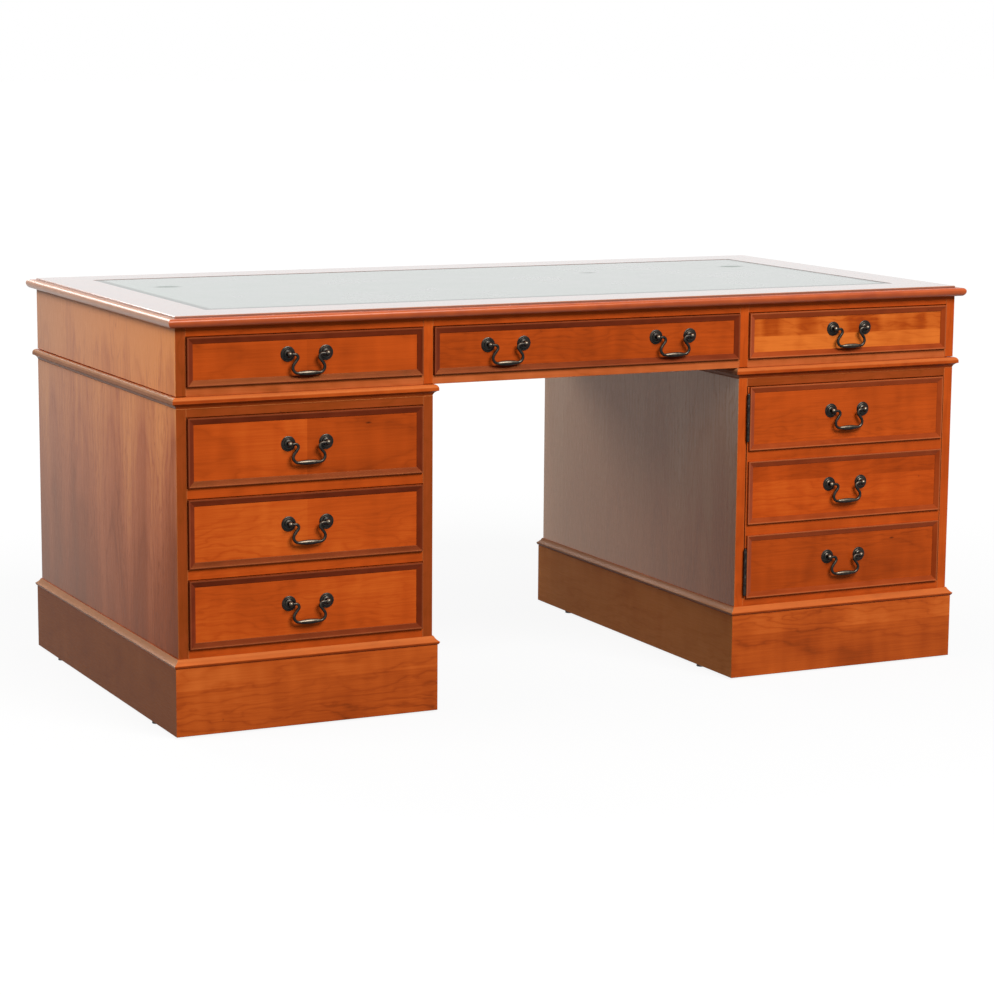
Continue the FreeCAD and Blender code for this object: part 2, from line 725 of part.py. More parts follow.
def build_nut():
    """Return the nut that holds a post from inside the drawer."""
    hexagon = doc.addObject("Part::Prism", "nut_blank")
    hexagon.Polygon = 6
    bind(hexagon, {"Circumradius": "nut_radius", "Height": "nut_height"})
    place(hexagon, ("0", "front_thickness + nut_height", "0"), UPRIGHT)
    hole = cylinder("nut_hole", "shank_hole", "nut_height",
                    ("0", "front_thickness + nut_height", "0"), UPRIGHT)
    return cut("nut", hexagon, [hole])


def build_bail():
    """Return a swan-neck bail that stands up from its axis, the X axis.

    One half is a wire swept along a line of straights and tangent bends, with half of the
    swollen grip turned on its end, and the other half is its mirror image.
    """
    body = doc.addObject("PartDesign::Body", "bail")
    path = bail_path(body)
    section = sketch_in(body, "bail_section", "YZ_Plane")
    section.addGeometry(Part.Circle(FreeCAD.Vector(), Z_AXIS, number("bail_radius")))
    section.addConstraint(Sketcher.Constraint("Coincident", 0, Ref.CENTRE, *ORIGIN_POINT))
    set_radius(section, 0, "bail_radius")
    bind(section, {".AttachmentOffset.Base.z": "handle_spacing / 2 + bail_end"})
    wire = body.newObject("PartDesign::AdditivePipe", "bail_wire")
    wire.Profile = section
    wire.Spine = path
    doc.recompute()
    swell = sketch_in(body, "grip_section", "XZ_Plane")
    corners = (
        ("0", "bail_drop"),
        ("grip_length / 2", "bail_drop"),
        ("grip_length / 2", "bail_drop + grip_end_radius"),
        ("0", "bail_drop + grip_radius"),
    )
    swelling = "(grip_radius - grip_end_radius)"
    outline(swell, corners, {2: (f"((grip_length / 2) ^ 2 + {swelling} ^ 2) / (2 * {swelling})", 1)})
    grip = body.newObject("PartDesign::Revolution", "grip_swelling")
    grip.Profile = swell
    grip.ReferenceAxis = (swell, ["Edge1"])
    grip.Angle = 360
    doc.recompute()
    mirror = body.newObject("PartDesign::Mirrored", "bail_mirror")
    mirror.Originals = [wire, grip]
    mirror.MirrorPlane = (plane_of(body, "YZ_Plane"), [""])
    body.Tip = mirror
    return body


def bail_path(body):
    """Return the centre line of half a bail, from the end in the post to the middle of the grip."""
    path = sketch_in(body, "bail_path", "XZ_Plane")
    neck = number("handle_spacing / 2 - bail_neck")
    upper = number("bail_shoulder_radius")
    lower = number("bail_corner_radius")
    drop = number("bail_drop")
    slope = FreeCAD.Rotation(Z_AXIS, number("bail_splay")).multVec(X_AXIS)
    square = FreeCAD.Vector(-slope.y, slope.x, 0)
    shoulder = FreeCAD.Vector(neck, upper, 0)
    slope_start = shoulder + square * upper
    run = (drop - lower - square.y * lower - slope_start.y) / slope.y
    slope_end = slope_start + slope * run
    corner = slope_end + square * lower
    points = (
        FreeCAD.Vector(number("handle_spacing / 2 + bail_end"), 0, 0),
        FreeCAD.Vector(neck, 0, 0),
        slope_start,
        slope_end,
        FreeCAD.Vector(corner.x, drop, 0),
        FreeCAD.Vector(0, drop, 0),
    )
    path.addGeometry(Part.LineSegment(points[0], points[1]))
    path.addGeometry(Part.Arc(points[1], shoulder - X_AXIS * upper, points[2]))
    path.addGeometry(Part.LineSegment(points[2], points[3]))
    path.addGeometry(Part.Arc(points[3], corner + X_AXIS * lower, points[4]))
    path.addGeometry(Part.LineSegment(points[4], points[5]))
    neck_side, shoulder_side, slope_side, corner_side, grip_side = range(path.GeometryCount)
    for side in range(shoulder_side, path.GeometryCount):
        ends = (first_end(path, side - 1, points[side]), first_end(path, side, points[side]))
        path.addConstraint(Sketcher.Constraint("Tangent", side - 1, ends[0], side, ends[1]))
    set_point(path, neck_side, Ref.START, "handle_spacing / 2 + bail_end", "0")
    set_point(path, neck_side, Ref.END, "handle_spacing / 2 - bail_neck", "0")
    set_point(path, grip_side, Ref.END, "0", "bail_drop")
    set_radius(path, shoulder_side, "bail_shoulder_radius")
    set_radius(path, corner_side, "bail_corner_radius")
    path.addConstraint(Sketcher.Constraint("Horizontal", grip_side))
    lean = math.radians(number("bail_splay"))
    splay = path.addConstraint(Sketcher.Constraint("Angle", slope_side, lean))
    path.setExpression(f"Constraints[{splay}]", formula("bail_splay * 1 deg"))
    return path


# Drawers and doors: the origin is at the foot of the opening, in its middle, on the face

class Handles:
    """The pieces of a handle, drawn once and set wherever a handle goes."""

    def __init__(self):
        self.post_set = [build_rosette(), build_post(), build_nut()]
        self.bail = build_bail()

    def posts(self, name, places):
        """Return the rosettes, posts and nuts of handles at places on a front."""
        sets = []
        for handle, (across, up) in enumerate(places):
            for side, sign in (("left", "-"), ("right", "+")):
                at = (f"{across} {sign} handle_spacing / 2", "0", up)
                sets.append(group(f"{name}_{side}_post_{handle}", self.post_set, at))
        return sets


def bolt_holes(name, places):
    """Return cutters for the holes that handles at places on a front need."""
    return [cylinder(f"{name}_hole_{handle}_{side}", "shank_hole", "front_thickness",
                     (f"{across} {sign} handle_spacing / 2", "front_thickness", up), UPRIGHT)
            for handle, (across, up) in enumerate(places)
            for side, sign in (("left", "-"), ("right", "+"))]


def drawer_pieces(name, width, height, depth, places):
    """Return the boards and mouldings of a drawer.

    Args:
        name: the start of the pieces' names.
        width, height: the opening that the drawer closes.
        depth: the drawer from its face to its back.
        places: the middles of its handles, across and up.
    """
    front_width = f"({width} - 2 * drawer_gap)"
    front_height = f"({height} - drawer_gap - drawer_gap_below)"
    board = box(name + "_board", (f"-{front_width} / 2", "0", "drawer_gap_below"),
                (front_width, "front_thickness", front_height))
    front = cut(name + "_front", board, bolt_holes(name, places))
    strips = mitred_frame(name + "_bead", bead_strip, front_width, front_height)
    bead = group(name + "_bead", strips, ("0", "0", f"drawer_gap_below + {front_height} / 2"), UPRIGHT)
    outside = f"({width} / 2 - side_clearance)"
    inside = f"({outside} - drawer_wall)"
    wall_height = f"({height} - drawer_headroom)"
    wall = ("drawer_wall", f"{depth} - front_thickness", wall_height)
    floor = "run_clearance + drawer_floor_lift"
    return [
        front,
        bead,
        box(name + "_left_side", (f"-{outside}", "front_thickness", "run_clearance"), wall),
        box(name + "_right_side", (inside, "front_thickness", "run_clearance"), wall),
        box(name + "_floor", (f"-{inside}", "front_thickness", floor),
            (f"2 * {inside}", f"{depth} - front_thickness", "drawer_floor")),
        box(name + "_back", (f"-{inside}", f"{depth} - drawer_wall", f"{floor} + drawer_floor"),
            (f"2 * {inside}", "drawer_wall",
             f"{wall_height} - drawer_floor_lift - drawer_floor")),
    ]


def handle_height(height):
    """Return the height of the handle posts on the front of an opening."""
    return f"(drawer_gap_below + ({height} - drawer_gap - drawer_gap_below) / 2 + handle_rise)"


def bail_at(handles, name, place, at):
    """Add the bail of a handle, on both sides of the desk."""
    across, up = place
    spot = (f"{at[0]} + {across}", f"{at[1]} - pivot_projection", f"{at[2]} + {up}")
    both_sides(name, [handles.bail], spot, HANGING)


def build_pedestal_drawers(handles):
    """Add the three drawers of the pedestal on the left, on both sides of the desk."""
    places = [("0", handle_height("drawer_opening"))]
    pieces = drawer_pieces("pedestal_drawer", "opening_width", "drawer_opening",
                           "pedestal_drawer_depth", places)
    posts = handles.posts("pedestal_drawer", places)
    for level, name in enumerate(LEVELS):
        at = ("-pedestal_middle", "-half_depth", f"floor_level + {level} * drawer_pitch")
        both_sides(f"{name}_drawer", pieces, at)
        both_sides(f"{name}_handle_posts", posts, at)
        bail_at(handles, f"{name}_bail", places[0], at)


def build_frieze_drawers(handles):
    """Add the three drawers of the frieze, on both sides of the desk."""
    up = handle_height("frieze_opening")
    single = {"": ("0", up)}
    double = {"_left": ("-handle_offset", up), "_right": ("handle_offset", up)}
    masters = {}
    for kind, width, places in (("side", "opening_width", single),
                                ("centre", "kneehole_width", double)):
        middles = list(places.values())
        masters[kind] = (
            drawer_pieces(kind + "_frieze_drawer", width, "frieze_opening", "frieze_drawer_depth",
                          middles),
            handles.posts(kind + "_frieze_drawer", middles),
            places,
        )
    for bay, middle, _ in frieze_bays():
        pieces, posts, places = masters["centre" if bay == "centre" else "side"]
        at = (middle, "-half_depth", "frieze_floor")
        both_sides(f"{bay}_frieze_drawer", pieces, at)
        both_sides(f"{bay}_frieze_handle_posts", posts, at)
        for side, place_on_front in places.items():
            bail_at(handles, f"{bay}_frieze_bail{side}", place_on_front, at)


# Hinges: the origin is on the pin, at the foot of the barrel

def knuckles(name, numbers, plate_edge):
    """Return some knuckles of a hinge, each with the web that joins it to its leaf."""
    pieces = []
    for index in numbers:
        foot = f"{index} * (knuckle + hinge_knuckle_gap)"
        pieces.append(cylinder(f"{name}_knuckle_{index}", "hinge_radius", "knuckle",
                               ("0", "0", foot)))
        pieces.append(box(f"{name}_web_{index}", (plate_edge, "0", foot),
                          ("hinge_leaf", "hinge_stand_off", "knuckle")))
    return pieces


def leaf_plate(name, plate_edge):
    """Return the flat plate of a hinge leaf."""
    return box(name + "_plate", (plate_edge, "hinge_stand_off", "0"),
               ("hinge_leaf", "hinge_leaf_depth", "hinge_length"))


def build_hinge():
    """Return the frame leaf, with the pin and its beads, and the door leaf of a hinge."""
    frame_edge = "-hinge_gap / 2"
    door_edge = "hinge_gap / 2 - hinge_leaf"
    bead_centre = "hinge_finial_radius / 2"
    frame_pieces = [
        leaf_plate("frame_leaf", frame_edge),
        cylinder("hinge_pin", "hinge_pin_radius", "hinge_length"),
        sphere("lower_finial", "hinge_finial_radius", ("0", "0", f"-{bead_centre}")),
        sphere("upper_finial", "hinge_finial_radius", ("0", "0", f"hinge_length + {bead_centre}")),
    ]
    frame_pieces += knuckles("frame_leaf", (0, 2, 4), frame_edge)
    frame_leaf = fuse("frame_leaf", frame_pieces)
    door_blank = fuse("door_leaf_blank",
                      [leaf_plate("door_leaf", door_edge)] + knuckles("door_leaf", (1, 3), door_edge))
    bore = cylinder("hinge_bore", "hinge_pin_radius + hinge_clearance", "hinge_length")
    return frame_leaf, cut("door_leaf", door_blank, [bore])


def build_doors(handles):
    """Add the doors of both cupboards with their fittings, bails and hinges."""
    levels = {f"_{name}": ("0", f"{level} * drawer_pitch + " + handle_height("drawer_opening"))
              for level, name in enumerate(LEVELS)}
    places = list(levels.values())
    left = "(hinge_gap - opening_width / 2)"
    door_width = "(opening_width - hinge_gap - drawer_gap)"
    board = box("door_board", (left, "0", "drawer_gap_below"),
                (door_width, "front_thickness", "door_opening - drawer_gap - drawer_gap_below"))
    pieces = [cut("door_panel", board, bolt_holes("door", places))]
    strips = mitred_frame("dummy_bead", bead_strip, f"{door_width} - 2 * dummy_margin",
                          "pedestal_front_height")
    for level in range(len(LEVELS)):
        middle = f"{level} * drawer_pitch + drawer_gap_below + pedestal_front_height / 2"
        pieces.append(group(f"dummy_drawer_{level}", strips,
                            (f"{left} + {door_width} / 2", "0", middle), UPRIGHT))
    frame_leaf, door_leaf = build_hinge()
    axis = "hinge_gap / 2 - opening_width / 2"
    feet = ("hinge_low", "door_opening - hinge_high - hinge_length")
    hinges = [(axis, "-hinge_stand_off", foot) for foot in feet]
    fittings = handles.posts("door", places)
    fittings += [group(f"door_leaf_{index}", [door_leaf], at) for index, at in enumerate(hinges)]
    frame_leaves = [group(f"frame_leaf_{index}", [frame_leaf], at) for index, at in enumerate(hinges)]
    at = ("pedestal_middle", "-half_depth", "floor_level")
    both_sides("door", pieces, at)
    both_sides("door_fittings", fittings, at)
    for level, place_on_front in levels.items():
        bail_at(handles, f"door_bail{level}", place_on_front, at)
    pair("hinge_frame_leaves", [group("frame_leaf_set", frame_leaves, at)])


# Building and writing

def check_document():
    """Stop if any object failed, or any sub-part has no sound shape."""
    for item in doc.Objects:
        if "Invalid" in item.State or "Error" in item.State:
            raise RuntimeError(f"{item.Name} failed: {item.State}")
    for item in nodes:
        if item.Shape.isNull() or not item.Shape.isValid() or not item.Shape.Solids:
            raise RuntimeError(f"{item.Label} has no sound shape")


def write_parts():
    """Write each sub-part to its own file."""
    os.makedirs("parts", exist_ok=True)
    for item in nodes:
        Part.makeCompound(item.Shape.Solids).exportStep(f"parts/{item.Label}.step")
        print(f"{item.Label}: {len(item.Shape.Solids)} solids, {item.Shape.Volume:.0f} mm3")


make_sheet()
build_desktop()
build_frieze()
build_pedestals()
desk_handles = Handles()
build_frieze_drawers(desk_handles)
build_pedestal_drawers(desk_handles)
build_doors(desk_handles)
doc.recompute()
check_document()
write_parts()
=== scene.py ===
"""Partners desk in lacquered yew with a leather writing surface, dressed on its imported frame."""

import logging
import math
from collections.abc import Callable, Iterable, Iterator, Sequence
from contextlib import contextmanager
from dataclasses import dataclass, field, replace
from enum import Enum
from typing import Any

import bpy
from mathutils import Matrix, Vector


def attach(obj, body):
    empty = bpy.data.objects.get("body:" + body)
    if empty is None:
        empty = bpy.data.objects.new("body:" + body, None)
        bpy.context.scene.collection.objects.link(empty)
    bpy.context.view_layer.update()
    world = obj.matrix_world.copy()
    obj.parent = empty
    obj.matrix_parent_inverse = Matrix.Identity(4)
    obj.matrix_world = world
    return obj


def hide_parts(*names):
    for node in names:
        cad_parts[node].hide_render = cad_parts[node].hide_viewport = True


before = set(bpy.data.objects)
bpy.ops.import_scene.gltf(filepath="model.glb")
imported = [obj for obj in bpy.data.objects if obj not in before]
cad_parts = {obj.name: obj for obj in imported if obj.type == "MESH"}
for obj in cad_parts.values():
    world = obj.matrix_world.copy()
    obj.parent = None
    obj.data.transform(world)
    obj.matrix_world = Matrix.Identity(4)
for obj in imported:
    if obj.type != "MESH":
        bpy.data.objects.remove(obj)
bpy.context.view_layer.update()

log = logging.getLogger("partners_desk")

MM = 0.001
EASE = 0.7
NOISE_MEAN = 0.5
SIDE_STEP = 0.31
GRAIN = "grain"
# the pale mark on faces: partly wear, partly painted highlight
WEAR_AND_HIGHLIGHT = "worn"
TONE = "tone"
CARCASE = "desk_carcase"
HALF_TURN = Matrix.Rotation(math.pi, 4, "Z")
UPRIGHT = Matrix.Rotation(math.pi / 2, 4, "X")
SIDES = (("front", Matrix.Identity(4), 1), ("rear", HALF_TURN, -1))
FORWARD = (0, -1, 0)
LEFTWARD = (-1, 0, 0)
RIGHTWARD = (1, 0, 0)

Pair = tuple[float, float]
Point = tuple[float, float, float]
Section = Sequence[Pair]
Socket = bpy.types.NodeSocket
Face = bpy.types.MeshPolygon
Item = bpy.types.Object


class Axis(Enum):
    """A way through the desk: of grain, of a turned piece or of a hole."""

    X = 0
    Y = 1
    Z = 2

    @property
    def turn(self) -> Point:
        """The turn that lays an upright piece along it, in radians about X, Y and Z."""
        return ((0, math.pi / 2, 0), (math.pi / 2, 0, 0), (0, 0, 0))[self.value]


class Level(Enum):
    """The drawers of a pedestal, from the floor up."""

    BOTTOM = 0
    MIDDLE = 1
    TOP = 2


# Shading

def srgb(code: str) -> tuple[float, ...]:
    """Turn an sRGB hex colour into the linear values that a shader takes.

    Args:
        code: six hex digits after a hash.

    Returns:
        Linear red, green, blue and alpha.
    """
    shares = [int(code[i:i + 2], 16) / 255 for i in (1, 3, 5)]
    linear = [c / 12.92 if c <= 0.04045 else ((c + 0.055) / 1.055) ** 2.4 for c in shares]
    return *linear, 1.0


def per_metre(length: float) -> float:
    """Return how many times a length in millimetres goes into a metre."""
    return 1 / (length * MM)


def add_node(tree: bpy.types.NodeTree, kind: str, inputs: dict[Any, Any] | None = None,
             output: int | str = 0, stops: Iterable[tuple[float, str]] = (), **settings: Any) -> Socket:
    """Add a node with its settings and links.

    Args:
        tree: the tree that gets the node.
        kind: the node's type, without the ShaderNode that each one starts with.
        inputs: for an input's name or number, a value or the output that feeds it.
        output: which output to return.
        stops: places and hex colours of a colour ramp.
        settings: the node's own properties.

    Returns:
        The chosen output, or the node's first input where it has no output.
    """
    node = tree.nodes.new("ShaderNode" + kind)
    for name, value in settings.items():
        setattr(node, name, value)
    stops = list(stops)
    for place, _ in stops[2:]:
        node.color_ramp.elements.new(place)
    for element, (place, code) in zip(node.color_ramp.elements if stops else (), stops):
        element.position = place
        element.color = srgb(code)
    for key, value in (inputs or {}).items():
        if isinstance(value, Socket):
            tree.links.new(value, node.inputs[key])
        else:
            node.inputs[key].default_value = value
    return node.outputs[output] if node.outputs else node.inputs[0]


def seen(tree: bpy.types.NodeTree) -> Socket:
    """Tell the rays that show the background: from the camera, off gloss and through glass.

    Args:
        tree: the tree that gets the nodes.

    Returns:
        1 for such a ray, else 0.
    """
    shown = 0
    for kind in ("Camera", "Glossy", "Transmission"):
        ray = add_node(tree, "LightPath", output=f"Is {kind} Ray")
        shown = add_node(tree, "Math", {0: shown, 1: ray}, operation="MAXIMUM")
    return shown


@dataclass(frozen=True)
class Finish:
    """A finish, which becomes a material when a piece first gets it. Its shades go from dark to pale."""

    name: str
    shades: tuple[str, ...]

    @property
    def tree(self) -> bpy.types.NodeTree:
        """The node tree of its material."""
        return bpy.data.materials[self.name].node_tree

    def add(self, kind: str, *choices: Any, **settings: Any) -> Socket:
        """Add a node to its material, with whatever add_node takes."""
        return add_node(self.tree, kind, *choices, **settings)

    def material(self) -> bpy.types.Material:
        """Make the material on first use.

        Returns:
            The material.
        """
        made = bpy.data.materials.get(self.name)
        if not made:
            made = bpy.data.materials.new(self.name)
            made.use_nodes = True
            made.node_tree.nodes.clear()
            self.add("OutputMaterial", {"Surface": self.shader()})
        return made

    def shader(self) -> Socket:
        """Return the shader, which each kind of finish makes in its own way."""
        raise NotImplementedError


@dataclass(frozen=True)
class LacqueredYew(Finish):
    """Sliced yew veneer under a thin satin lacquer.

    Fine streaks run along the grain, the growth rings show as nested arches on each leaf, and
    here and there the fibres ripple or turn round a pin knot. The lacquer is smooth and toned:
    it colours what it reflects straight on, and shines white at a low angle. Sizes are in
    millimetres, along and across the grain.
    """

    levels: tuple[float, ...] = (0.14, 0.36, 0.54, 0.78)
    knot: str = "#3a150a"
    # the pale colour of the mark: wear of the lacquer and painted highlight
    worn: str = "#d98a4e"
    toned: str = "#ffa858"
    streak: Pair = (190, 3.4)
    patch: Pair = (360, 110)
    ripple: Pair = (34, 130)
    wander: Pair = (140, 45)
    fading: Pair = (320, 120)
    pore: Pair = (30, 1.2)
    streak_share: float = 0.22
    patch_share: float = 0.36
    ripple_share: float = 0.2
    ring_share: float = 0.2
    leaf: float = 190
    ring: float = 11
    stray: float = 75
    bow: float = 9
    slant: float = 0.11
    line_power: float = 3
    knot_cell: float = 170
    knot_size: float = 2.2
    knot_stain: float = 0.6
    knotless: float = 0.8
    eyes: tuple[Pair, ...] = ()
    eye_size: Pair = (6.5, 2.2)
    eye_fade: Pair = (0.3, 1.2)
    eye_stain: float = 0.8
    # how far the mark, wear and painted highlight, pales the colour
    wear_and_highlight_share: float = 0.35
    relief: float = 0.12
    relief_height: float = 0.3
    roughness: float = 0.26
    unevenness: float = 0.16
    gloss: float = 0.2
    polish: float = 0.0
    coat_roughness: float = 0.12

    def shader(self) -> Socket:
        """Lay the figure, the knots and the pale marks of wear and painted highlight under the lacquer.

        Returns:
            The shader.
        """
        figure = self.figure()
        tone = self.add("Attribute", output="Fac", attribute_name=TONE)
        shade = self.add("Math", {0: figure, 1: tone}, operation="ADD")
        plain = self.add("ValToRGB", {0: shade}, stops=zip(self.levels, self.shades))
        # paler where the mark is: wear on eased edges, painted highlight on upward slopes and lips
        worn = self.add("Attribute", output="Fac", attribute_name=WEAR_AND_HIGHLIGHT)
        wear_and_highlight_share = self.add("Math", {0: worn, 1: self.wear_and_highlight_share}, operation="MULTIPLY")
        colour = self.add("Mix", {0: wear_and_highlight_share, 6: self.knots(plain), 7: srgb(self.worn)}, 2,
                          data_type="RGBA")
        sheen = self.add("Math", {0: self.noise(self.pore, 2), 1: self.unevenness,
                                  2: self.roughness - self.unevenness / 2}, operation="MULTIPLY_ADD")
        relief = self.add("Bump", {"Height": figure, "Strength": self.relief,
                                   "Distance": self.relief_height * MM})
        return self.add("BsdfPrincipled", {
            "Base Color": colour, "Roughness": sheen, "Normal": relief, "IOR": 1.5,
            "Specular IOR Level": self.gloss, "Specular Tint": srgb(self.toned),
            "Coat Weight": self.polish, "Coat Roughness": self.coat_roughness})

    def grain(self) -> Socket:
        """Return the place on the veneer, in metres along and across the grain."""
        return self.add("UVMap", uv_map=GRAIN)

    def place(self, axis: Axis) -> Socket:
        """Return the place along an axis of the desk, in metres."""
        return self.add("SeparateXYZ", {0: self.add("TexCoord", output="Object")}, axis.name)

    def noise(self, size: Pair, detail: float) -> Socket:
        """Draw soft noise on the veneer.

        Args:
            size: length and width of its patches in millimetres.
            detail: how much finer noise it carries.

        Returns:
            The noise, about 0.5 on average.
        """
        scaled = self.add("Mapping", {"Vector": self.grain(), "Scale": (*map(per_metre, size), 1)})
        return self.add("TexNoise", {"Vector": scaled, "Scale": 1, "Detail": detail, "Roughness": 0.55},
                        noise_dimensions="2D")

    def rings(self) -> Socket:
        """Draw the growth rings of plain-sliced leaves, which lie deeper away from a leaf's middle.

        Returns:
            Their strength, 1 on each dark line.
        """
        along = self.add("SeparateXYZ", {0: self.grain()}, "X")
        depth = self.add("Math", {0: along, 1: self.slant}, operation="MULTIPLY")
        line = self.add("Math", {0: self.noise(self.wander, 3), 1: self.stray * MM,
                                 2: along.node.outputs["Y"]}, operation="MULTIPLY_ADD")
        for operation, value in (("PINGPONG", self.leaf * MM / 2), ("POWER", 2), ("MULTIPLY", self.bow),
                                 ("ADD", depth), ("MULTIPLY", per_metre(self.ring)), ("PINGPONG", 1),
                                 ("POWER", self.line_power)):
            line = self.add("Math", {0: line, 1: value}, operation=operation)
        return line

    def figure(self) -> Socket:
        """Draw the veneer's figure.

        Returns:
            Its level, low where the wood is dark and high where it is pale.
        """
        level = NOISE_MEAN
        for size, detail, share in ((self.streak, 5, self.streak_share),
                                    (self.patch, 2, self.patch_share),
                                    (self.ripple, 1, self.ripple_share)):
            part = self.add("Math", {0: self.noise(size, detail), 1: NOISE_MEAN}, operation="SUBTRACT")
            level = self.add("Math", {0: part, 1: share, 2: level}, operation="MULTIPLY_ADD")
        lines = self.add("Math", {0: self.rings(), 1: self.noise(self.fading, 1)}, operation="MULTIPLY")
        return self.add("Math", {0: lines, 1: -self.ring_share, 2: level}, operation="MULTIPLY_ADD")

    def knots(self, colour: Socket) -> Socket:
        """Stain a few pin knots into the veneer, each in a cell of its own.

        Args:
            colour: the plain veneer's colour.

        Returns:
            The colour with its knots.
        """
        away = self.add("TexVoronoi", {"Vector": self.grain(), "Scale": per_metre(self.knot_cell)},
                        "Distance", voronoi_dimensions="2D")
        draw = self.add("SeparateXYZ", {0: away.node.outputs["Color"]}, "X")
        chosen = self.add("Math", {0: draw, 1: self.knotless}, operation="GREATER_THAN")
        near = self.add("MapRange", {0: away, 2: self.knot_size / self.knot_cell, 3: self.knot_stain,
                                     4: 0})
        spot = self.add("Math", {0: near, 1: chosen}, operation="MULTIPLY")
        for eye in self.eyes:
            spot = self.add("Math", {0: spot, 1: self.eye(*eye)}, operation="MAXIMUM")
        return self.add("Mix", {0: spot, 6: colour, 7: srgb(self.knot)}, 2, data_type="RGBA")

    def eye(self, across: float, up: float) -> Socket:
        """Draw one longer knot on an upright face.

        Args:
            across: its place along X, in millimetres.
            up: its place over the floor.

        Returns:
            The knot, strongest in its middle and 0 away from it.
        """
        length, width = self.eye_size
        moved = self.add("Mapping", {
            "Vector": self.add("TexCoord", output="Object"),
            "Scale": (per_metre(length), 0, per_metre(width)),
            "Location": (-across / length, 0, -up / width)})
        away = self.add("VectorMath", {0: moved}, "Value", operation="LENGTH")
        return self.add("MapRange", {0: away, 1: self.eye_fade[0], 2: self.eye_fade[1],
                                     3: self.eye_stain, 4: 0})


@dataclass(frozen=True)
class BandedYew(LacqueredYew):
    """Yew veneer cut where the pale sapwood meets the heartwood.

    Above a straight line the fibres stand in steep ripples, which show as dark and light bars.
    """

    heart_foot: float = 0
    line_reach: float = 1
    bar: Pair = (44, 420)
    bar_edge: Pair = (0.42, 0.58)
    sap: float = 0.24
    heart: Pair = (-0.14, -0.38)

    def figure(self) -> Socket:
        """Draw the figure, plain below the line and barred above it.

        Returns:
            Its level, as for plain veneer.
        """
        heart = self.add("MapRange", {0: self.place(Axis.Z), 1: (self.heart_foot - self.line_reach) * MM,
                                      2: (self.heart_foot + self.line_reach) * MM})
        bars = self.add("MapRange", {0: self.noise(self.bar, 1), 1: self.bar_edge[0], 2: self.bar_edge[1],
                                     3: self.heart[0], 4: self.heart[1]})
        shade = self.add("Math", {0: heart, 1: bars, 2: self.sap}, operation="MULTIPLY_ADD")
        return self.add("Math", {0: super().figure(), 1: shade}, operation="ADD")


@dataclass(frozen=True)
class PaintedLightYew(LacqueredYew):
    """Yew veneer for the outer and kneehole sides, with painted light in its colour.

    Painted shade makes the colour go softly from red-brown at the floor to a pale tan under the
    desktop, and painted light from the rear mixes grey into it towards the rear.
    """

    streak: Pair = (600, 7)
    patch: Pair = (900, 90)
    ripple_share: float = 0.04
    head: float = 764
    # painted shade: how far the level falls at the floor and rises at the head
    painted_light_span: float = 0.7
    # painted light from the rear: its grey, and its share at the rear edge
    grey: str = "#a58d7f"
    grey_share: float = 0.55

    def figure(self) -> Socket:
        """Draw the figure, with painted shade: darker towards the floor and paler towards the top.

        Returns:
            Its level, as for plain veneer.
        """
        # painted shade: darker towards the floor, paler towards the head
        light = self.add("MapRange", {0: self.place(Axis.Z), 2: self.head * MM,
                                      3: -self.painted_light_span / 2, 4: self.painted_light_span / 2})
        return self.add("Math", {0: super().figure(), 1: light}, operation="ADD")

    def knots(self, colour: Socket) -> Socket:
        """Stain the knots in, and mix painted light from the rear into the colour: a grey that grows towards
        the rear.

        Args:
            colour: the plain veneer's colour.

        Returns:
            The colour with its knots.
        """
        near, far = metres(SIZES.depth)
        # painted light: more grey towards the rear
        share = self.add("MapRange", {0: self.place(Axis.Y), 1: near, 2: far, 4: self.grey_share})
        return self.add("Mix", {0: share, 6: super().knots(colour), 7: srgb(self.grey)}, 2,
                        data_type="RGBA")


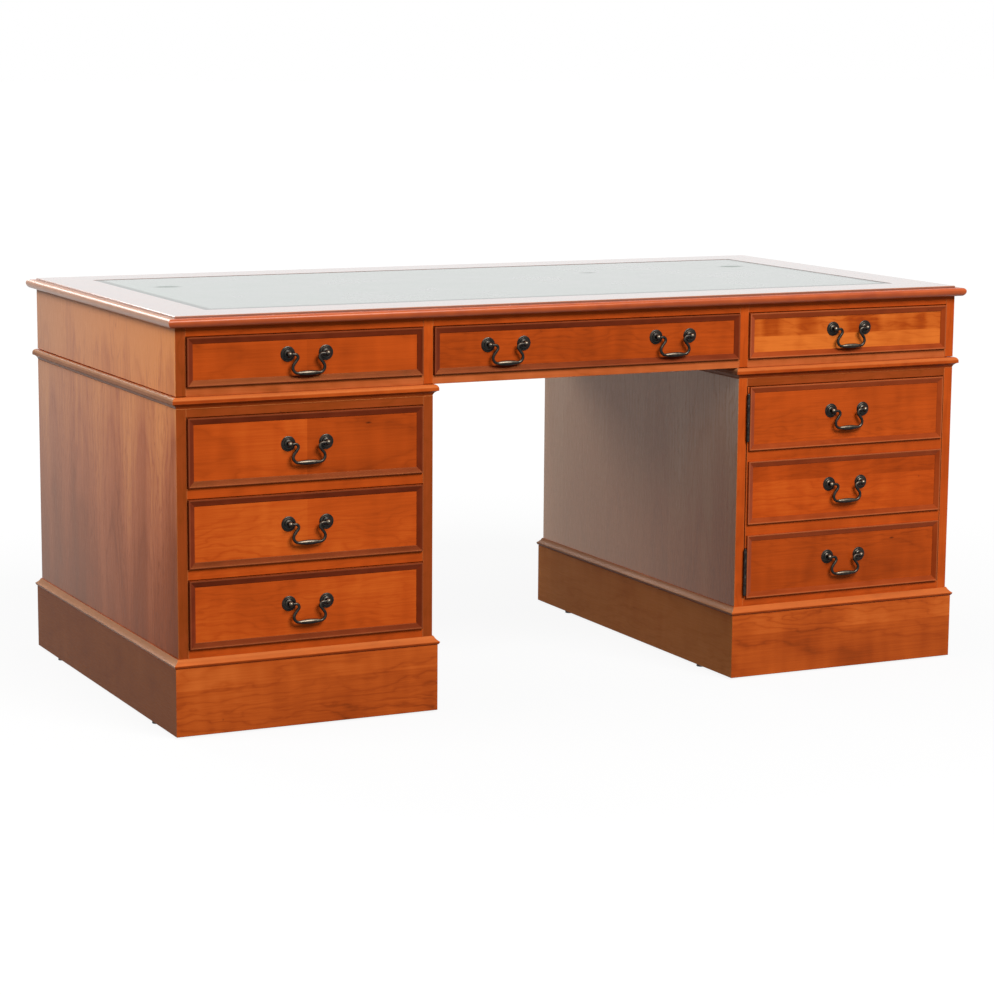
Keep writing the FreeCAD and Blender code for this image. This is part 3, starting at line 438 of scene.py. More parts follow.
@dataclass(frozen=True)
class WaxedLeather(Finish):
    """Dyed hide, embossed with a fine grain and polished with wax.

    The wax shines white at a low angle, the pebbled grain softens it, and handling leaves
    darker and paler clouds, with a few dull scuffs where the wax has come off. Real pebbles
    are about 1 mm. They are drawn coarser, so that they show in the render.
    """

    levels: tuple[float, ...] = (0.3, 0.5, 0.72)
    wax: float = 0.95
    wax_roughness: float = 0.16
    roughness: float = 0.2
    unevenness: float = 0.2
    cloud: float = 170
    pebble: float = 2.6
    pebble_edge: float = 0.25
    relief: float = 0.18
    relief_height: float = 0.2
    scuff_cell: Pair = (330, 200)
    scuff_size: float = 0.11
    scuff_depth: float = 0.85
    scuffless: float = 0.62

    def shader(self) -> Socket:
        """Lay clouds of dye and a pebbled grain under the wax.

        Returns:
            The shader.
        """
        place = self.add("TexCoord", output="Object")
        clouds = self.add("TexNoise", {"Vector": place, "Scale": per_metre(self.cloud), "Detail": 5,
                                       "Roughness": 0.6})
        colour = self.add("ValToRGB", {0: clouds}, stops=zip(self.levels, self.shades))
        pebbles = self.add("TexVoronoi", {"Vector": place, "Scale": per_metre(self.pebble)}, "Distance",
                           feature="DISTANCE_TO_EDGE")
        relief = self.add("Bump", {
            "Height": self.add("MapRange", {0: pebbles, 2: self.pebble_edge}),
            "Strength": self.relief, "Distance": self.relief_height * MM})
        rough = self.add("Math", {0: clouds, 1: self.unevenness, 2: self.roughness},
                         operation="MULTIPLY_ADD")
        coat = self.add("Math", {0: self.scuffs(place), 1: -self.scuff_depth * self.wax, 2: self.wax},
                        operation="MULTIPLY_ADD")
        return self.add("BsdfPrincipled", {
            "Base Color": colour, "Roughness": rough, "Normal": relief, "IOR": 1.5,
            "Coat Weight": coat, "Coat Roughness": self.wax_roughness})

    def scuffs(self, place: Socket) -> Socket:
        """Rub a few scuffs into the wax, each in a cell of its own.

        Args:
            place: the place on the desk.

        Returns:
            1 in the middle of each scuff and 0 away from them.
        """
        cells = self.add("Mapping", {"Vector": place, "Scale": (*map(per_metre, self.scuff_cell), 1)})
        away = self.add("TexVoronoi", {"Vector": cells, "Scale": 1}, "Distance", voronoi_dimensions="2D")
        draw = self.add("SeparateXYZ", {0: away.node.outputs["Color"]}, "X")
        size = self.add("MapRange", {0: draw, 1: self.scuffless, 4: self.scuff_size})
        left = self.add("Math", {0: size, 1: away}, operation="SUBTRACT")
        return self.add("MapRange", {0: left, 2: self.scuff_size / 2})


@dataclass(frozen=True)
class AntiqueBrass(Finish):
    """Cast brass, darkened in a bath, with warm metal where hands wear it and a painted highlight
    where light falls on it.

    Grips and bosses show warm metal, from wear and from painted highlight, and the rest is a
    blue-black patina with a dull shine.
    """

    levels: tuple[float, ...] = (0.2, 0.45, 1.0)
    stain: float = 7
    stain_share: float = 0.5
    roughness: float = 0.22
    unevenness: float = 0.25
    relief: float = 0.15
    relief_height: float = 0.2

    def shader(self) -> Socket:
        """Stain the metal, and brighten it with the pale mark: wear, and painted highlight.

        Returns:
            The shader.
        """
        stains = self.add("TexNoise", {"Vector": self.add("TexCoord", output="Object"),
                                       "Scale": per_metre(self.stain), "Detail": 4, "Roughness": 0.6})
        # the pale mark: wear on the grips and painted highlight
        worn = self.add("Attribute", output="Fac", attribute_name=WEAR_AND_HIGHLIGHT)
        shade = self.add("Math", {0: stains, 1: self.stain_share, 2: worn}, operation="MULTIPLY_ADD")
        colour = self.add("ValToRGB", {0: shade}, stops=zip(self.levels, self.shades))
        rough = self.add("Math", {0: stains, 1: self.unevenness, 2: self.roughness},
                         operation="MULTIPLY_ADD")
        relief = self.add("Bump", {"Height": stains, "Strength": self.relief,
                                   "Distance": self.relief_height * MM})
        return self.add("BsdfPrincipled", {"Base Color": colour, "Roughness": rough, "Normal": relief,
                                           "Metallic": 1})


@dataclass(frozen=True)
class MouldedPlastic(Finish):
    """Black polyamide, moulded with a fine spark-eroded texture that keeps it matt."""

    levels: tuple[float, ...] = (0.4, 0.75)
    grit: float = 1.2
    roughness: float = 0.6
    relief: float = 0.2
    relief_height: float = 0.1

    def shader(self) -> Socket:
        """Colour and roughen the plastic with its grit.

        Returns:
            The shader.
        """
        grit = self.add("TexNoise", {"Vector": self.add("TexCoord", output="Object"),
                                     "Scale": per_metre(self.grit), "Detail": 2})
        colour = self.add("ValToRGB", {0: grit}, stops=zip(self.levels, self.shades))
        relief = self.add("Bump", {"Height": grit, "Strength": self.relief,
                                   "Distance": self.relief_height * MM})
        return self.add("BsdfPrincipled", {"Base Color": colour, "Roughness": self.roughness,
                                           "Normal": relief, "IOR": 1.53})


@dataclass(frozen=True)
class WhitePaper(Finish):
    """A white paper floor that keeps the desk's shadow.

    It glows white by itself, a little less near the desk, where a shadow has to show. Light that
    it throws back on the desk is a dull grey.
    """

    near: Pair = (1.2, 0.9)
    far: Pair = (4.0, 1.0)

    def shader(self) -> Socket:
        """Mix the grey that lights the desk and the glowing white that shows.

        Returns:
            The shader.
        """
        veil, dull = [self.add("BsdfDiffuse", {"Color": srgb(code)}) for code in self.shades]
        away = self.add("VectorMath", {0: self.add("TexCoord", output="Object")}, "Value",
                        operation="LENGTH")
        level = self.add("MapRange", {0: away, 1: self.near[0], 2: self.far[0], 3: self.near[1],
                                      4: self.far[1]})
        glow = self.add("Emission", {"Color": srgb("#ffffff"), "Strength": level})
        white = self.add("AddShader", {0: veil, 1: glow})
        return self.add("MixShader", {0: seen(self.tree), 1: dull, 2: white})


VENEER = LacqueredYew("lacquered_yew_veneer", ("#7c2e0c", "#9c3d10", "#b04714", "#c65c1e"),
                      eyes=((-469, 570), (712, 265)))
FIGURED = BandedYew("lacquered_yew_crown_cut", ("#732e10", "#9b4015", "#b14f1b", "#c46127"), ring=15,
                    leaf=230, ring_share=0.3, heart_foot=90, bar=(220, 420), sap=-0.03,
                    heart=(0.06, 0.2))
BANDED = BandedYew("lacquered_yew_sapwood_band", ("#81300f", "#9a3e0e", "#b2531a", "#c96826"),
                   heart_foot=697, bar=(80, 420))
SAPWOOD = BandedYew("lacquered_yew_sapwood_leaf", ("#7c2c0a", "#9c3b0e", "#b04512", "#c65a1c"),
                    heart_foot=402, bar=(130, 420), sap=0.06, heart=(-0.07, -0.2))
POLISHED = LacqueredYew("polished_yew_top", ("#502411", "#652f15", "#743818", "#854620"),
                        toned="#ffffff", roughness=0.2, gloss=0.5, polish=1.0)
# painted light: the outer sides, gloss nearly off, painted shade low down and a painted grey sheen at the
# rear
SIDE = PaintedLightYew("lacquered_yew_outer_side", ("#7e3a10", "#974818", "#b66439", "#dd8c50"), gloss=0.02,
                   streak_share=0.18, patch_share=0.55, painted_light_span=0.72)
# painted light: the kneehole sides, painted shade low down and pale painted light at the rear
KNEEHOLE = PaintedLightYew("lacquered_yew_kneehole_side", ("#8a4516", "#a05a2b", "#ac7650", "#ccb09a"),
                       grey="#f2cdb0", grey_share=0.6, toned="#fff0e0", gloss=0.34, streak_share=0.2)
# painted shade: a darker copy of the plinth yew for the outer sides, gloss nearly off
SHADED_PLINTH_SIDE = LacqueredYew("lacquered_yew_plinth_side", ("#6d3816", "#783f1a", "#7f451d", "#8b502a"),
                           gloss=0.014)
# painted light: a paler copy of the plinth yew for the kneehole sides, gloss nearly off
LIT_PLINTH_KNEE = LacqueredYew("lacquered_yew_plinth_kneehole", ("#a8602c", "#b86e35", "#c27940", "#cd864d"),
                           gloss=0.025)
RAIL = LacqueredYew("lacquered_yew_rail", ("#7e3a18", "#9c4a20", "#b0582c", "#c66c38"))
# darker yew: a tone of its own on the left stiles, and painted shade of the nosing on the rails under the
# pedestal tops
STILE_AND_SHADE = LacqueredYew("lacquered_yew_lipping", ("#6c2c11", "#803711", "#8e3d17", "#9f4b21"))
MOULDING = LacqueredYew("lacquered_yew_moulding", ("#74290d", "#923812", "#a84818", "#bc5a26"),
                        worn="#c8763f", ring_share=0.12, gloss=0.08)
EDGING = LacqueredYew("polished_yew_edging", MOULDING.shades, ring_share=0.12, roughness=0.36,
                      polish=0.5, coat_roughness=0.3)
# painted sheen: a paler, greyer copy of the edging for the ends of the desk, where light grazes them
PAINTED_SHEEN_EDGING = replace(EDGING, name="polished_yew_outer_edging",
                          shades=("#7d4a2a", "#8f5a36", "#a06a45", "#b07c58"))
# painted sheen: a paler, greyer copy of the moulding for faces that look to the sides
PAINTED_SHEEN_MOULDING = LacqueredYew("lacquered_yew_outer_moulding",
                                 ("#6e3f20", "#814e2d", "#905b39", "#a06c49"), worn="#b98a66",
                                 ring_share=0.12, gloss=0.03)
# painted shade: a darker copy of the bead moulding, for the drawers that get less light
SHADED_BEAD = LacqueredYew("stained_yew_bead", ("#45160a", "#5a1f0d", "#6e2913", "#82371d"),
                         worn="#96502f", ring_share=0.1, gloss=0.12)
# painted light: the lighter copy of the bead moulding, for the door and the right frieze drawer
LIT_BEAD = LacqueredYew("lacquered_yew_bead", ("#62220d", "#7c2e10", "#8d3815", "#a04620"),
                         worn="#b96a40", ring_share=0.1)
LINING = LacqueredYew("oiled_beech_lining", ("#8a5a34", "#a87346", "#bd8a5a", "#cfa276"),
                      worn="#d8b48e", toned="#ffe9d0", ring_share=0.12, roughness=0.5)
LEATHER = WaxedLeather("waxed_green_leather", ("#33433a", "#3f5247", "#4f6156"))
# a darker band round the edge of the leather, along its crease
CREASE = WaxedLeather("burnished_leather_edge", ("#181f1a", "#242f28", "#344138"), wax=0.6)
BRASS = AntiqueBrass("antique_brass_patina", ("#17191b", "#35312d", "#8c7d6a"))
HINGE = AntiqueBrass("blackened_brass_hinge", ("#25211f", "#4f4843", "#7a7064"))
PLASTIC = MouldedPlastic("moulded_black_polyamide", ("#17171a", "#2e2e31"))
PAPER = WhitePaper("white_paper", ("#474747", "#5c5a58"))


# Joinery

def metres(point: Sequence[float]) -> Vector:
    """Return a point in metres that is given in millimetres."""
    return Vector(point) * MM


def shift(*point: float) -> Matrix:
    """Return a move by millimetres."""
    return Matrix.Translation(metres(point))


def span(middle: float, width: float) -> Pair:
    """Return both ends of a width from its middle."""
    return middle - width / 2, middle + width / 2


def select_only(*items: Item) -> None:
    """Select some objects alone, or none, and make the first of them active.

    Args:
        items: the objects.
    """
    bpy.ops.object.select_all(action="DESELECT")
    for item in items[::-1]:
        item.select_set(True)
        bpy.context.view_layer.objects.active = item


@contextmanager
def editing(item: Item, mode: str = "VERT", test: Callable[[Any], bool] | None = None) -> Iterator[None]:
    """Open a mesh for editing, with all of it or some of its parts selected.

    Args:
        item: the active object.
        mode: VERT, EDGE or FACE.
        test: says which edges or faces to take, where it isn't all of them.

    Yields:
        Nothing, while the mesh is open.
    """
    bpy.ops.object.mode_set(mode="EDIT")
    bpy.ops.mesh.select_mode(type=mode)
    bpy.ops.mesh.select_all(action="DESELECT" if test else "SELECT")
    if test:
        bpy.ops.object.mode_set(mode="OBJECT")
        for part in item.data.edges if mode == "EDGE" else item.data.polygons:
            part.select = test(part)
        bpy.ops.object.mode_set(mode="EDIT")
    yield
    bpy.ops.object.mode_set(mode="OBJECT")


def edges_at(item: Item, level: float) -> Callable[[bpy.types.MeshEdge], bool]:
    """Return a test for the edges of a piece that lie at a level in millimetres."""
    return lambda edge: all(math.isclose(item.data.vertices[i].co.z, level * MM, abs_tol=0.1 * MM)
                            for i in edge.vertices)


@dataclass
class Flitch:
    """A stack of veneer leaves, so that each board gets a figure of its own."""

    taken: int = 0
    reach: float = 5
    steps: Pair = (0.618034, 0.754878)

    def next_leaf(self) -> Vector:
        """Return the place of the next leaf on the veneer, in metres."""
        self.taken += 1
        return Vector([self.taken * step % 1 * self.reach for step in self.steps])


FLITCH = Flitch()


def lay_grain(item: Item, grain: Axis | Callable[[Face], Axis]) -> None:
    """Unwrap a piece face by face, at its real size, with the grain along U.

    Args:
        item: the piece.
        grain: the way that the grain runs, for all faces or by face.
    """
    mesh = item.data
    layer = mesh.uv_layers.get(GRAIN) or mesh.uv_layers.new(name=GRAIN)
    leaf = FLITCH.next_leaf()
    spots = [vertex.co for vertex in mesh.vertices]
    for face in mesh.polygons:
        run = (grain if isinstance(grain, Axis) else grain(face)).value
        facing = max(range(3), key=lambda axis: abs(face.normal[axis]))
        others = [axis for axis in range(3) if axis != facing]
        along = run if run in others else others[1]
        across = next(axis for axis in others if axis != along)
        for loop in face.loop_indices:
            spot = spots[mesh.loops[loop].vertex_index]
            layer.data[loop].uv = leaf + Vector((spot[along], spot[across] + SIDE_STEP * facing))


def crossed_ends(middle: float, reach: float) -> Callable[[Face], Axis]:
    """Return grain that runs along X, and across it past a reach in millimetres from the middle."""
    return lambda face: Axis.Y if abs(face.center.x - middle * MM) > reach * MM else Axis.X


def is_eased(face: Face) -> bool:
    """Say whether a face of a board is an eased edge that hands and cloths reach and that does not face
    down; such faces get the pale mark, both wear and painted highlight.
    """
    return max(abs(share) for share in face.normal) < 0.99 and face.normal.z > -0.2


def looks_up(face: Face) -> bool:
    """Say whether a face of a moulding slopes upwards."""
    return 0.15 < face.normal.z < 0.97


def mark_wear_and_highlight(item: Item, test: Callable[[Face], bool]) -> None:
    """Mark where the lacquer of a piece wears thin and where a highlight is painted on it.

    Args:
        item: the piece.
        test: says whether a face of it gets the pale mark.
    """
    worn = item.data.attributes.new(WEAR_AND_HIGHLIGHT, "FLOAT", "FACE")
    for face, mark in zip(item.data.polygons, worn.data):
        mark.value = float(test(face))


def dress(item: Item, finish: Finish) -> None:
    """Give a piece its finish."""
    item.data.materials.append(finish.material())


def reface(item: Item, finish: Finish, test: Callable[[Face], bool]) -> None:
    """Give some faces of a piece another finish.

    Args:
        item: the piece.
        finish: the other finish.
        test: says whether a face gets it.
    """
    dress(item, finish)
    for face in item.data.polygons:
        if test(face):
            face.material_index = len(item.data.materials) - 1


def facing(way: Point) -> Callable[[Face], bool]:
    """Return a test for faces that look squarely one way."""
    return lambda face: face.normal.dot(way) > 0.9


def sideways(face: Face) -> bool:
    """Say whether a face of a moulding looks to the left or the right."""
    return abs(face.normal.x) > 0.2


def beyond(*reach: float) -> Callable[[Face], bool]:
    """Return a test for faces past a reach along X, and along Y, in millimetres from the middle."""
    return lambda face: any(abs(place) > limit * MM for place, limit in zip(face.center, reach))


def set_tone(item: Item, tones: Pair, middle: float = 0, side: int = 1) -> None:
    """Make the leaves of veneer on a piece lighter or darker than its neighbours.

    Args:
        item: the piece.
        tones: the tones of its left and its right leaf.
        middle: where the leaves meet, in millimetres along X.
        side: 1 on the front of the desk, -1 on the rear.
    """
    marks = item.data.attributes.get(TONE) or item.data.attributes.new(TONE, "FLOAT", "FACE")
    for face, mark in zip(item.data.polygons, marks.data):
        on_right = (face.center.x - middle * MM) * side > 0
        mark.value = tones[on_right] * (face.material_index == 0)


def block(*spans: Pair, ease: float = 0) -> Item:
    """Add a block as the start of a piece.

    Args:
        spans: where it starts and ends along X, Y and Z, in millimetres.
        ease: the width of its eased edges.

    Returns:
        The block.
    """
    select_only()
    middle = metres([sum(ends) / 2 for ends in spans])
    size = metres([far - near for near, far in spans])
    bpy.ops.mesh.primitive_cube_add(size=1, calc_uvs=False, location=middle, scale=size)
    bpy.ops.object.transform_apply(location=True, rotation=True, scale=True)
    item = bpy.context.object
    if ease:
        with editing(item):
            bpy.ops.mesh.bevel(offset=ease * MM, segments=2, affect="EDGES")
    return item


def board(x: Pair, y: Pair, z: Pair, grain: Axis, finish: Finish, ease: float = EASE) -> Item:
    """Saw a board to size and ease its edges.

    Args:
        x: where it starts and ends along X, in millimetres.
        y: where it starts and ends along Y.
        z: where it starts and ends along Z.
        grain: the way that its grain runs.
        finish: its finish.
        ease: the width of the eased edges.

    Returns:
        The board.
    """
    item = block(x, y, z, ease=ease)
    lay_grain(item, grain)
    # eased edges that do not face down get wear and painted highlight
    mark_wear_and_highlight(item, is_eased)
    dress(item, finish)
    return item


def smooth(item: Item) -> None:
    """Shade curves smooth and keep flat faces flat.

    Args:
        item: the active object.
    """
    bpy.ops.object.shade_smooth_by_angle(angle=math.radians(32))
    weighted = item.modifiers.new("flat_faces", "WEIGHTED_NORMAL")
    weighted.keep_sharp = True
    bpy.ops.object.modifier_apply(modifier=weighted.name)


def arc(start: Pair, end: Pair, radius: float, bulge: int, steps: int = 8) -> list[Pair]:
    """Draw an arc of a moulding's section.

    Args:
        start: where it starts, inset and rise in millimetres.
        end: where it ends.
        radius: its radius.
        bulge: 1 where it bows to the right of the way from start to end, -1 to the left.
        steps: how many straight steps stand for it.

    Returns:
        Its points, without the end.
    """
    first, last = Vector(start), Vector(end)
    chord = last - first
    right = Vector((chord.y, -chord.x)).normalized() * bulge
    centre = (first + last) / 2 - right * math.sqrt(radius ** 2 - (chord.length / 2) ** 2)
    turn = (last - centre).angle_signed(first - centre)
    points = [centre + Matrix.Rotation(turn * i / steps, 2) @ (first - centre) for i in range(steps)]
    return [tuple(point) for point in points]


def eased_section(width: float, height: float, ease: float = EASE) -> list[Pair]:
    """Return the section of a plain strip with eased edges."""
    return [(0, ease), (0, height - ease), (ease, height), (width - ease, height),
            (width, height - ease), (width, ease), (width - ease, 0), (ease, 0)]


def mitred_strip(section: Section, length: float, finish: Finish) -> Item:
    """Run a moulding along X and mitre its ends.

    Args:
        section: the outline as inset from the outer edge and rise from the back, in millimetres.
        length: the length of its outer edge.
        finish: its finish.

    Returns:
        The strip, with its outer edge on the X axis.
    """
    select_only()
    bpy.ops.mesh.primitive_circle_add(vertices=len(section), radius=MM, fill_type="NGON", calc_uvs=False)
    item = bpy.context.object
    for vertex, (inset, rise) in zip(item.data.vertices, section):
        vertex.co = metres((-length / 2, inset, rise))
    with editing(item):
        draw_out((length, 0, 0))
        for end in (-1, 1):
            bpy.ops.mesh.select_all(action="SELECT")
            bpy.ops.mesh.bisect(plane_co=metres((end * length / 2, 0, 0)), plane_no=(end, 1, 0),
                                use_fill=True, clear_outer=True)
        bpy.ops.mesh.select_all(action="SELECT")
        bpy.ops.mesh.normals_make_consistent(inside=False)
    smooth(item)
    lay_grain(item, Axis.X)
    dress(item, finish)
    return item


def copy_of(master: Item, matrix: Matrix) -> Item:
    """Copy a piece to another place, with a mesh and a leaf of veneer of its own.

    Args:
        master: the piece to copy.
        matrix: how the copy is turned and moved.

    Returns:
        The copy.
    """
    item = master.copy()
    item.data = master.data.copy()
    item.data.transform(matrix)
    bpy.context.scene.collection.objects.link(item)
    layer = item.data.uv_layers.get(GRAIN)
    if layer:
        leaf = FLITCH.next_leaf()
        for corner in layer.data:
            corner.uv += leaf
    return item


def joined(items: Sequence[Item]) -> Item:
    """Glue boards and strips up into one piece of the desk.

    Args:
        items: the boards and strips.

    Returns:
        The piece.
    """
    select_only(*items)
    bpy.ops.object.join()
    return bpy.context.object


def mitred_frame(section: Section, length: float, width: float, finish: Finish) -> Item:
    """Glue up a mitred frame round the origin.

    Args:
        section: the outline of its strips, as for mitred_strip.
        length: its outer length along X in millimetres.
        width: its outer width along Y.
        finish: its finish.

    Returns:
        The frame, its back at the level of the origin.
    """
    strips = [mitred_strip(section, side, finish) for side in (length, width)]
    sides = []
    for quarter in range(4):
        out = shift(0, -(width, length)[quarter % 2] / 2, 0)
        turn = Matrix.Rotation(math.radians(90 * quarter), 4, "Z")
        sides.append(copy_of(strips[quarter % 2], turn @ out))
    for strip in strips:
        bpy.data.objects.remove(strip)
    return joined(sides)


def ring(radius: float, sides: int, middle: Point, axis: Axis) -> Item:
    """Start a drawn or turned piece from a ring, open for editing.

    Args:
        radius: the ring's radius in millimetres.
        sides: how many straight sides stand for it.
        middle: its middle in millimetres.
        axis: the way that it looks.

    Returns:
        The ring, all of it selected.
    """
    select_only()
    bpy.ops.mesh.primitive_circle_add(vertices=sides, radius=radius * MM, calc_uvs=False,
                                      location=metres(middle), rotation=axis.turn)
    bpy.ops.object.transform_apply(location=True, rotation=True, scale=True)
    bpy.ops.object.mode_set(mode="EDIT")
    bpy.ops.mesh.select_mode(type="VERT")
    bpy.ops.mesh.select_all(action="SELECT")
    return bpy.context.object


def draw_out(way: Sequence[float], swell: float = 1, middle: Point = (0, 0, 0)) -> None:
    """Draw what is selected out by a length, and swell or narrow it about its new middle.

    Args:
        way: how far it goes, in millimetres.
        swell: its new radius as a share of the old one.
        middle: its new middle.
    """
    bpy.ops.mesh.extrude_region_move(TRANSFORM_OT_translate={"value": metres(way)})
    if swell != 1:
        bpy.ops.transform.resize(value=(swell, swell, swell), center_override=metres(middle))


def close_up(angle: float = 50) -> None:
    """Close the open ends of a drawn or turned piece, and shade it smooth.

    Args:
        angle: the steepest bend that is smoothed, in degrees.
    """
    bpy.ops.mesh.select_all(action="SELECT")
    bpy.ops.mesh.fill_holes(sides=0)
    bpy.ops.mesh.normals_make_consistent(inside=False)
    bpy.ops.object.mode_set(mode="OBJECT")
    bpy.ops.object.shade_smooth_by_angle(angle=math.radians(angle))


def turned(profile: Section, sides: int) -> Item:
    """Turn a piece about the Y axis.

    Args:
        profile: its rings in order, each a radius and a distance in front of the face.
        sides: how many straight sides stand for its roundness.

    Returns:
        The piece.
    """
    (radius, out), *rest = profile
    item = ring(radius, sides, (0, -out, 0), Axis.Y)
    for next_radius, next_out in rest:
        draw_out((0, out - next_out, 0), next_radius / radius, (0, -next_out, 0))
        radius, out = next_radius, next_out
    close_up(32)
    return item


def bore(item: Item, radius: float, length: float, middle: Point, axis: Axis) -> None:
    """Bore a hole through a piece.

    Args:
        item: the piece.
        radius: the hole's radius in millimetres.
        length: the length of the drill that makes it.
        middle: the middle of the drill.
        axis: the way that the drill lies.
    """
    select_only()
    bpy.ops.mesh.primitive_cylinder_add(vertices=24, radius=radius * MM, depth=length * MM,
                                        location=metres(middle), rotation=axis.turn)
    drill = bpy.context.object
    select_only(item)
    hole = item.modifiers.new("hole", "BOOLEAN")
    hole.object = drill
    hole.solver = "EXACT"
    bpy.ops.object.modifier_apply(modifier=hole.name)
    bpy.data.objects.remove(drill)


def hand_over(item: Item, name: str, body: str, node: str) -> None:
    """Set a finished piece on its body in place of the node that it stands for.

    Args:
        item: the piece.
        name: its name.
        body: the body that it rides on.
        node: the node that it replaces.
    """
    item.name = name
    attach(item, body)
    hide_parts(node)
    log.info("%s rides on %s", name, body)


@dataclass(frozen=True)
class DeskSizes:
    """The main lines of the desk, in millimetres from the floor and from its middle."""

    half_length: float = 850
    half_depth: float = 428
    kneehole: float = 336
    side: float = 20
    plinth_foot: float = 4
    carcase_foot: float = 133
    floor_level: float = 165
    drawer_opening: float = 131
    drawer_pitch: float = 151
    door_opening: float = 433
    carcase_head: float = 614.6
    frieze_foot: float = 636.2
    frieze_floor: float = 653.2
    frieze_opening: float = 93
    frieze_head: float = 763.6
    top: float = 784
    rail_set_back: float = 0.6
    rail_depth: float = 60
    runner: float = 18
    stop: Point = (60, 12, 5)
    stop_gap: float = 0.3
    front: float = 20
    gap: float = 1.5
    gap_below: float = 0.8

    @property
    def depth(self) -> Pair:
        """The carcase from front to rear."""
        return span(0, 2 * self.half_depth)

    @property
    def rail(self) -> Pair:
        """The rails at the front, from face to back."""
        face = self.rail_set_back - self.half_depth
        return face, face + self.rail_depth

    @property
    def pedestal_middle(self) -> float:
        """Middle of a pedestal from the middle of the desk."""
        return (self.half_length + self.kneehole) / 2

    @property
    def pedestal_width(self) -> float:
        """One pedestal over its two sides."""
        return self.half_length - self.kneehole

    @property
    def opening(self) -> float:
        """Clear width between the sides of a pedestal."""
        return self.pedestal_width - 2 * self.side

    def drawer_floor(self, level: Level) -> float:
        """Return the foot of a drawer's opening in a pedestal."""
        return self.floor_level + level.value * self.drawer_pitch


SIZES = DeskSizes()


def wall_strips(walls: Pair, width: float, y: Pair, z: Pair) -> list[Item]:
    """Return a runner or bearer of a width along each of two walls, within a span of Y and one of Z."""
    return [board((edge, edge + width), y, z, Axis.Y, LINING) for edge in (walls[0], walls[1] - width)]


def drawer_stop(middle: float, floor: float) -> Item:
    """Make the block that stops a drawer behind its front.

    Args:
        middle: the middle of the drawer's opening, in millimetres.
        floor: the foot of the opening.

    Returns:
        The block.
    """
    width, depth, height = SIZES.stop
    face = SIZES.front + SIZES.stop_gap - SIZES.half_depth
    return board(span(middle, width), (face, face + depth), (floor, floor + height), Axis.X, LINING)


@dataclass
class Desktop:
    """The panel, the moulding round it and the leather let into it."""

    border: float = 93
    recess: float = 2
    ease: float = 1.2
    gap: float = 0.4
    edging: float = 17.4
    edging_rise: float = 16.4
    nose: float = 9.9
    under: float = 6
    over: float = 6.5
    leather: float = 1.5
    crease: tuple[Pair, ...] = ((16, 0.25), (1.5, 0.15), (12, 0))

    def build(self) -> None:
        """Build and place the three pieces."""
        self.panel()
        self.moulding()
        self.writing_surface()

    def panel(self) -> None:
        """Recess the panel for the leather, with mitred bands of veneer round it."""
        item = block(span(0, 2 * SIZES.half_length), SIZES.depth, (SIZES.frieze_head, SIZES.top))
        with editing(item, "EDGE", edges_at(item, SIZES.top)):
            bpy.ops.mesh.bevel(offset=self.ease * MM, segments=3, affect="EDGES")
        with editing(item, "FACE", lambda face: face.normal.z > 0.9 and face.area > 1):
            bpy.ops.mesh.inset(thickness=(self.border - self.ease - self.gap) * MM)
            draw_out((0, 0, -self.recess))
        lay_grain(item, crossed_ends(0, SIZES.half_length - self.border))
        # eased edges that do not face down get wear and painted highlight
        mark_wear_and_highlight(item, is_eased)
        dress(item, POLISHED)
        hand_over(item, "desktop_veneer", CARCASE, "desktop_panel")

    def moulding(self) -> None:
        """Run the thumb moulding round the panel."""
        rise = self.edging_rise - self.nose
        tip = (0.0, self.nose)
        section = [(self.edging, 0.0), (self.edging, self.edging_rise),
                   *arc((self.over, self.edging_rise), tip,
                        (self.over ** 2 + rise ** 2) / (2 * self.over), 1),
                   *arc(tip, (self.under, 0.0),
                        (self.under ** 2 + self.nose ** 2) / (2 * self.under), 1),
                   (self.under, 0.0)]
        item = mitred_frame(section, 2 * (SIZES.half_length + self.edging),
                            2 * (SIZES.half_depth + self.edging), EDGING)
        item.data.transform(shift(0, 0, SIZES.frieze_head))
        # the ends of the moulding get the painted sheen
        reface(item, PAINTED_SHEEN_EDGING, beyond(SIZES.half_length))
        hand_over(item, "desktop_thumb_moulding", CARCASE, "desktop_edge_moulding")

    def writing_surface(self) -> None:
        """Lay the leather, its edge creased all round."""
        reach = (SIZES.half_length - self.border, SIZES.half_depth - self.border)
        foot = SIZES.top - self.recess
        item = block(*(span(0, 2 * edge) for edge in reach), (foot, foot + self.leather))
        with editing(item, "FACE", lambda face: face.normal.z > 0.9):
            for width, rise in self.crease:
                bpy.ops.mesh.inset(thickness=width * MM, depth=rise * MM)
            bpy.ops.mesh.subdivide(number_cuts=3)
        lay_grain(item, Axis.X)
        dress(item, LEATHER)
        # the outer band of the leather, with the crease, gets the darker finish
        reface(item, CREASE, beyond(*(edge - self.crease[0][0] for edge in reach)))
        hand_over(item, "leather_skiver", CARCASE, "leather_writing_surface")


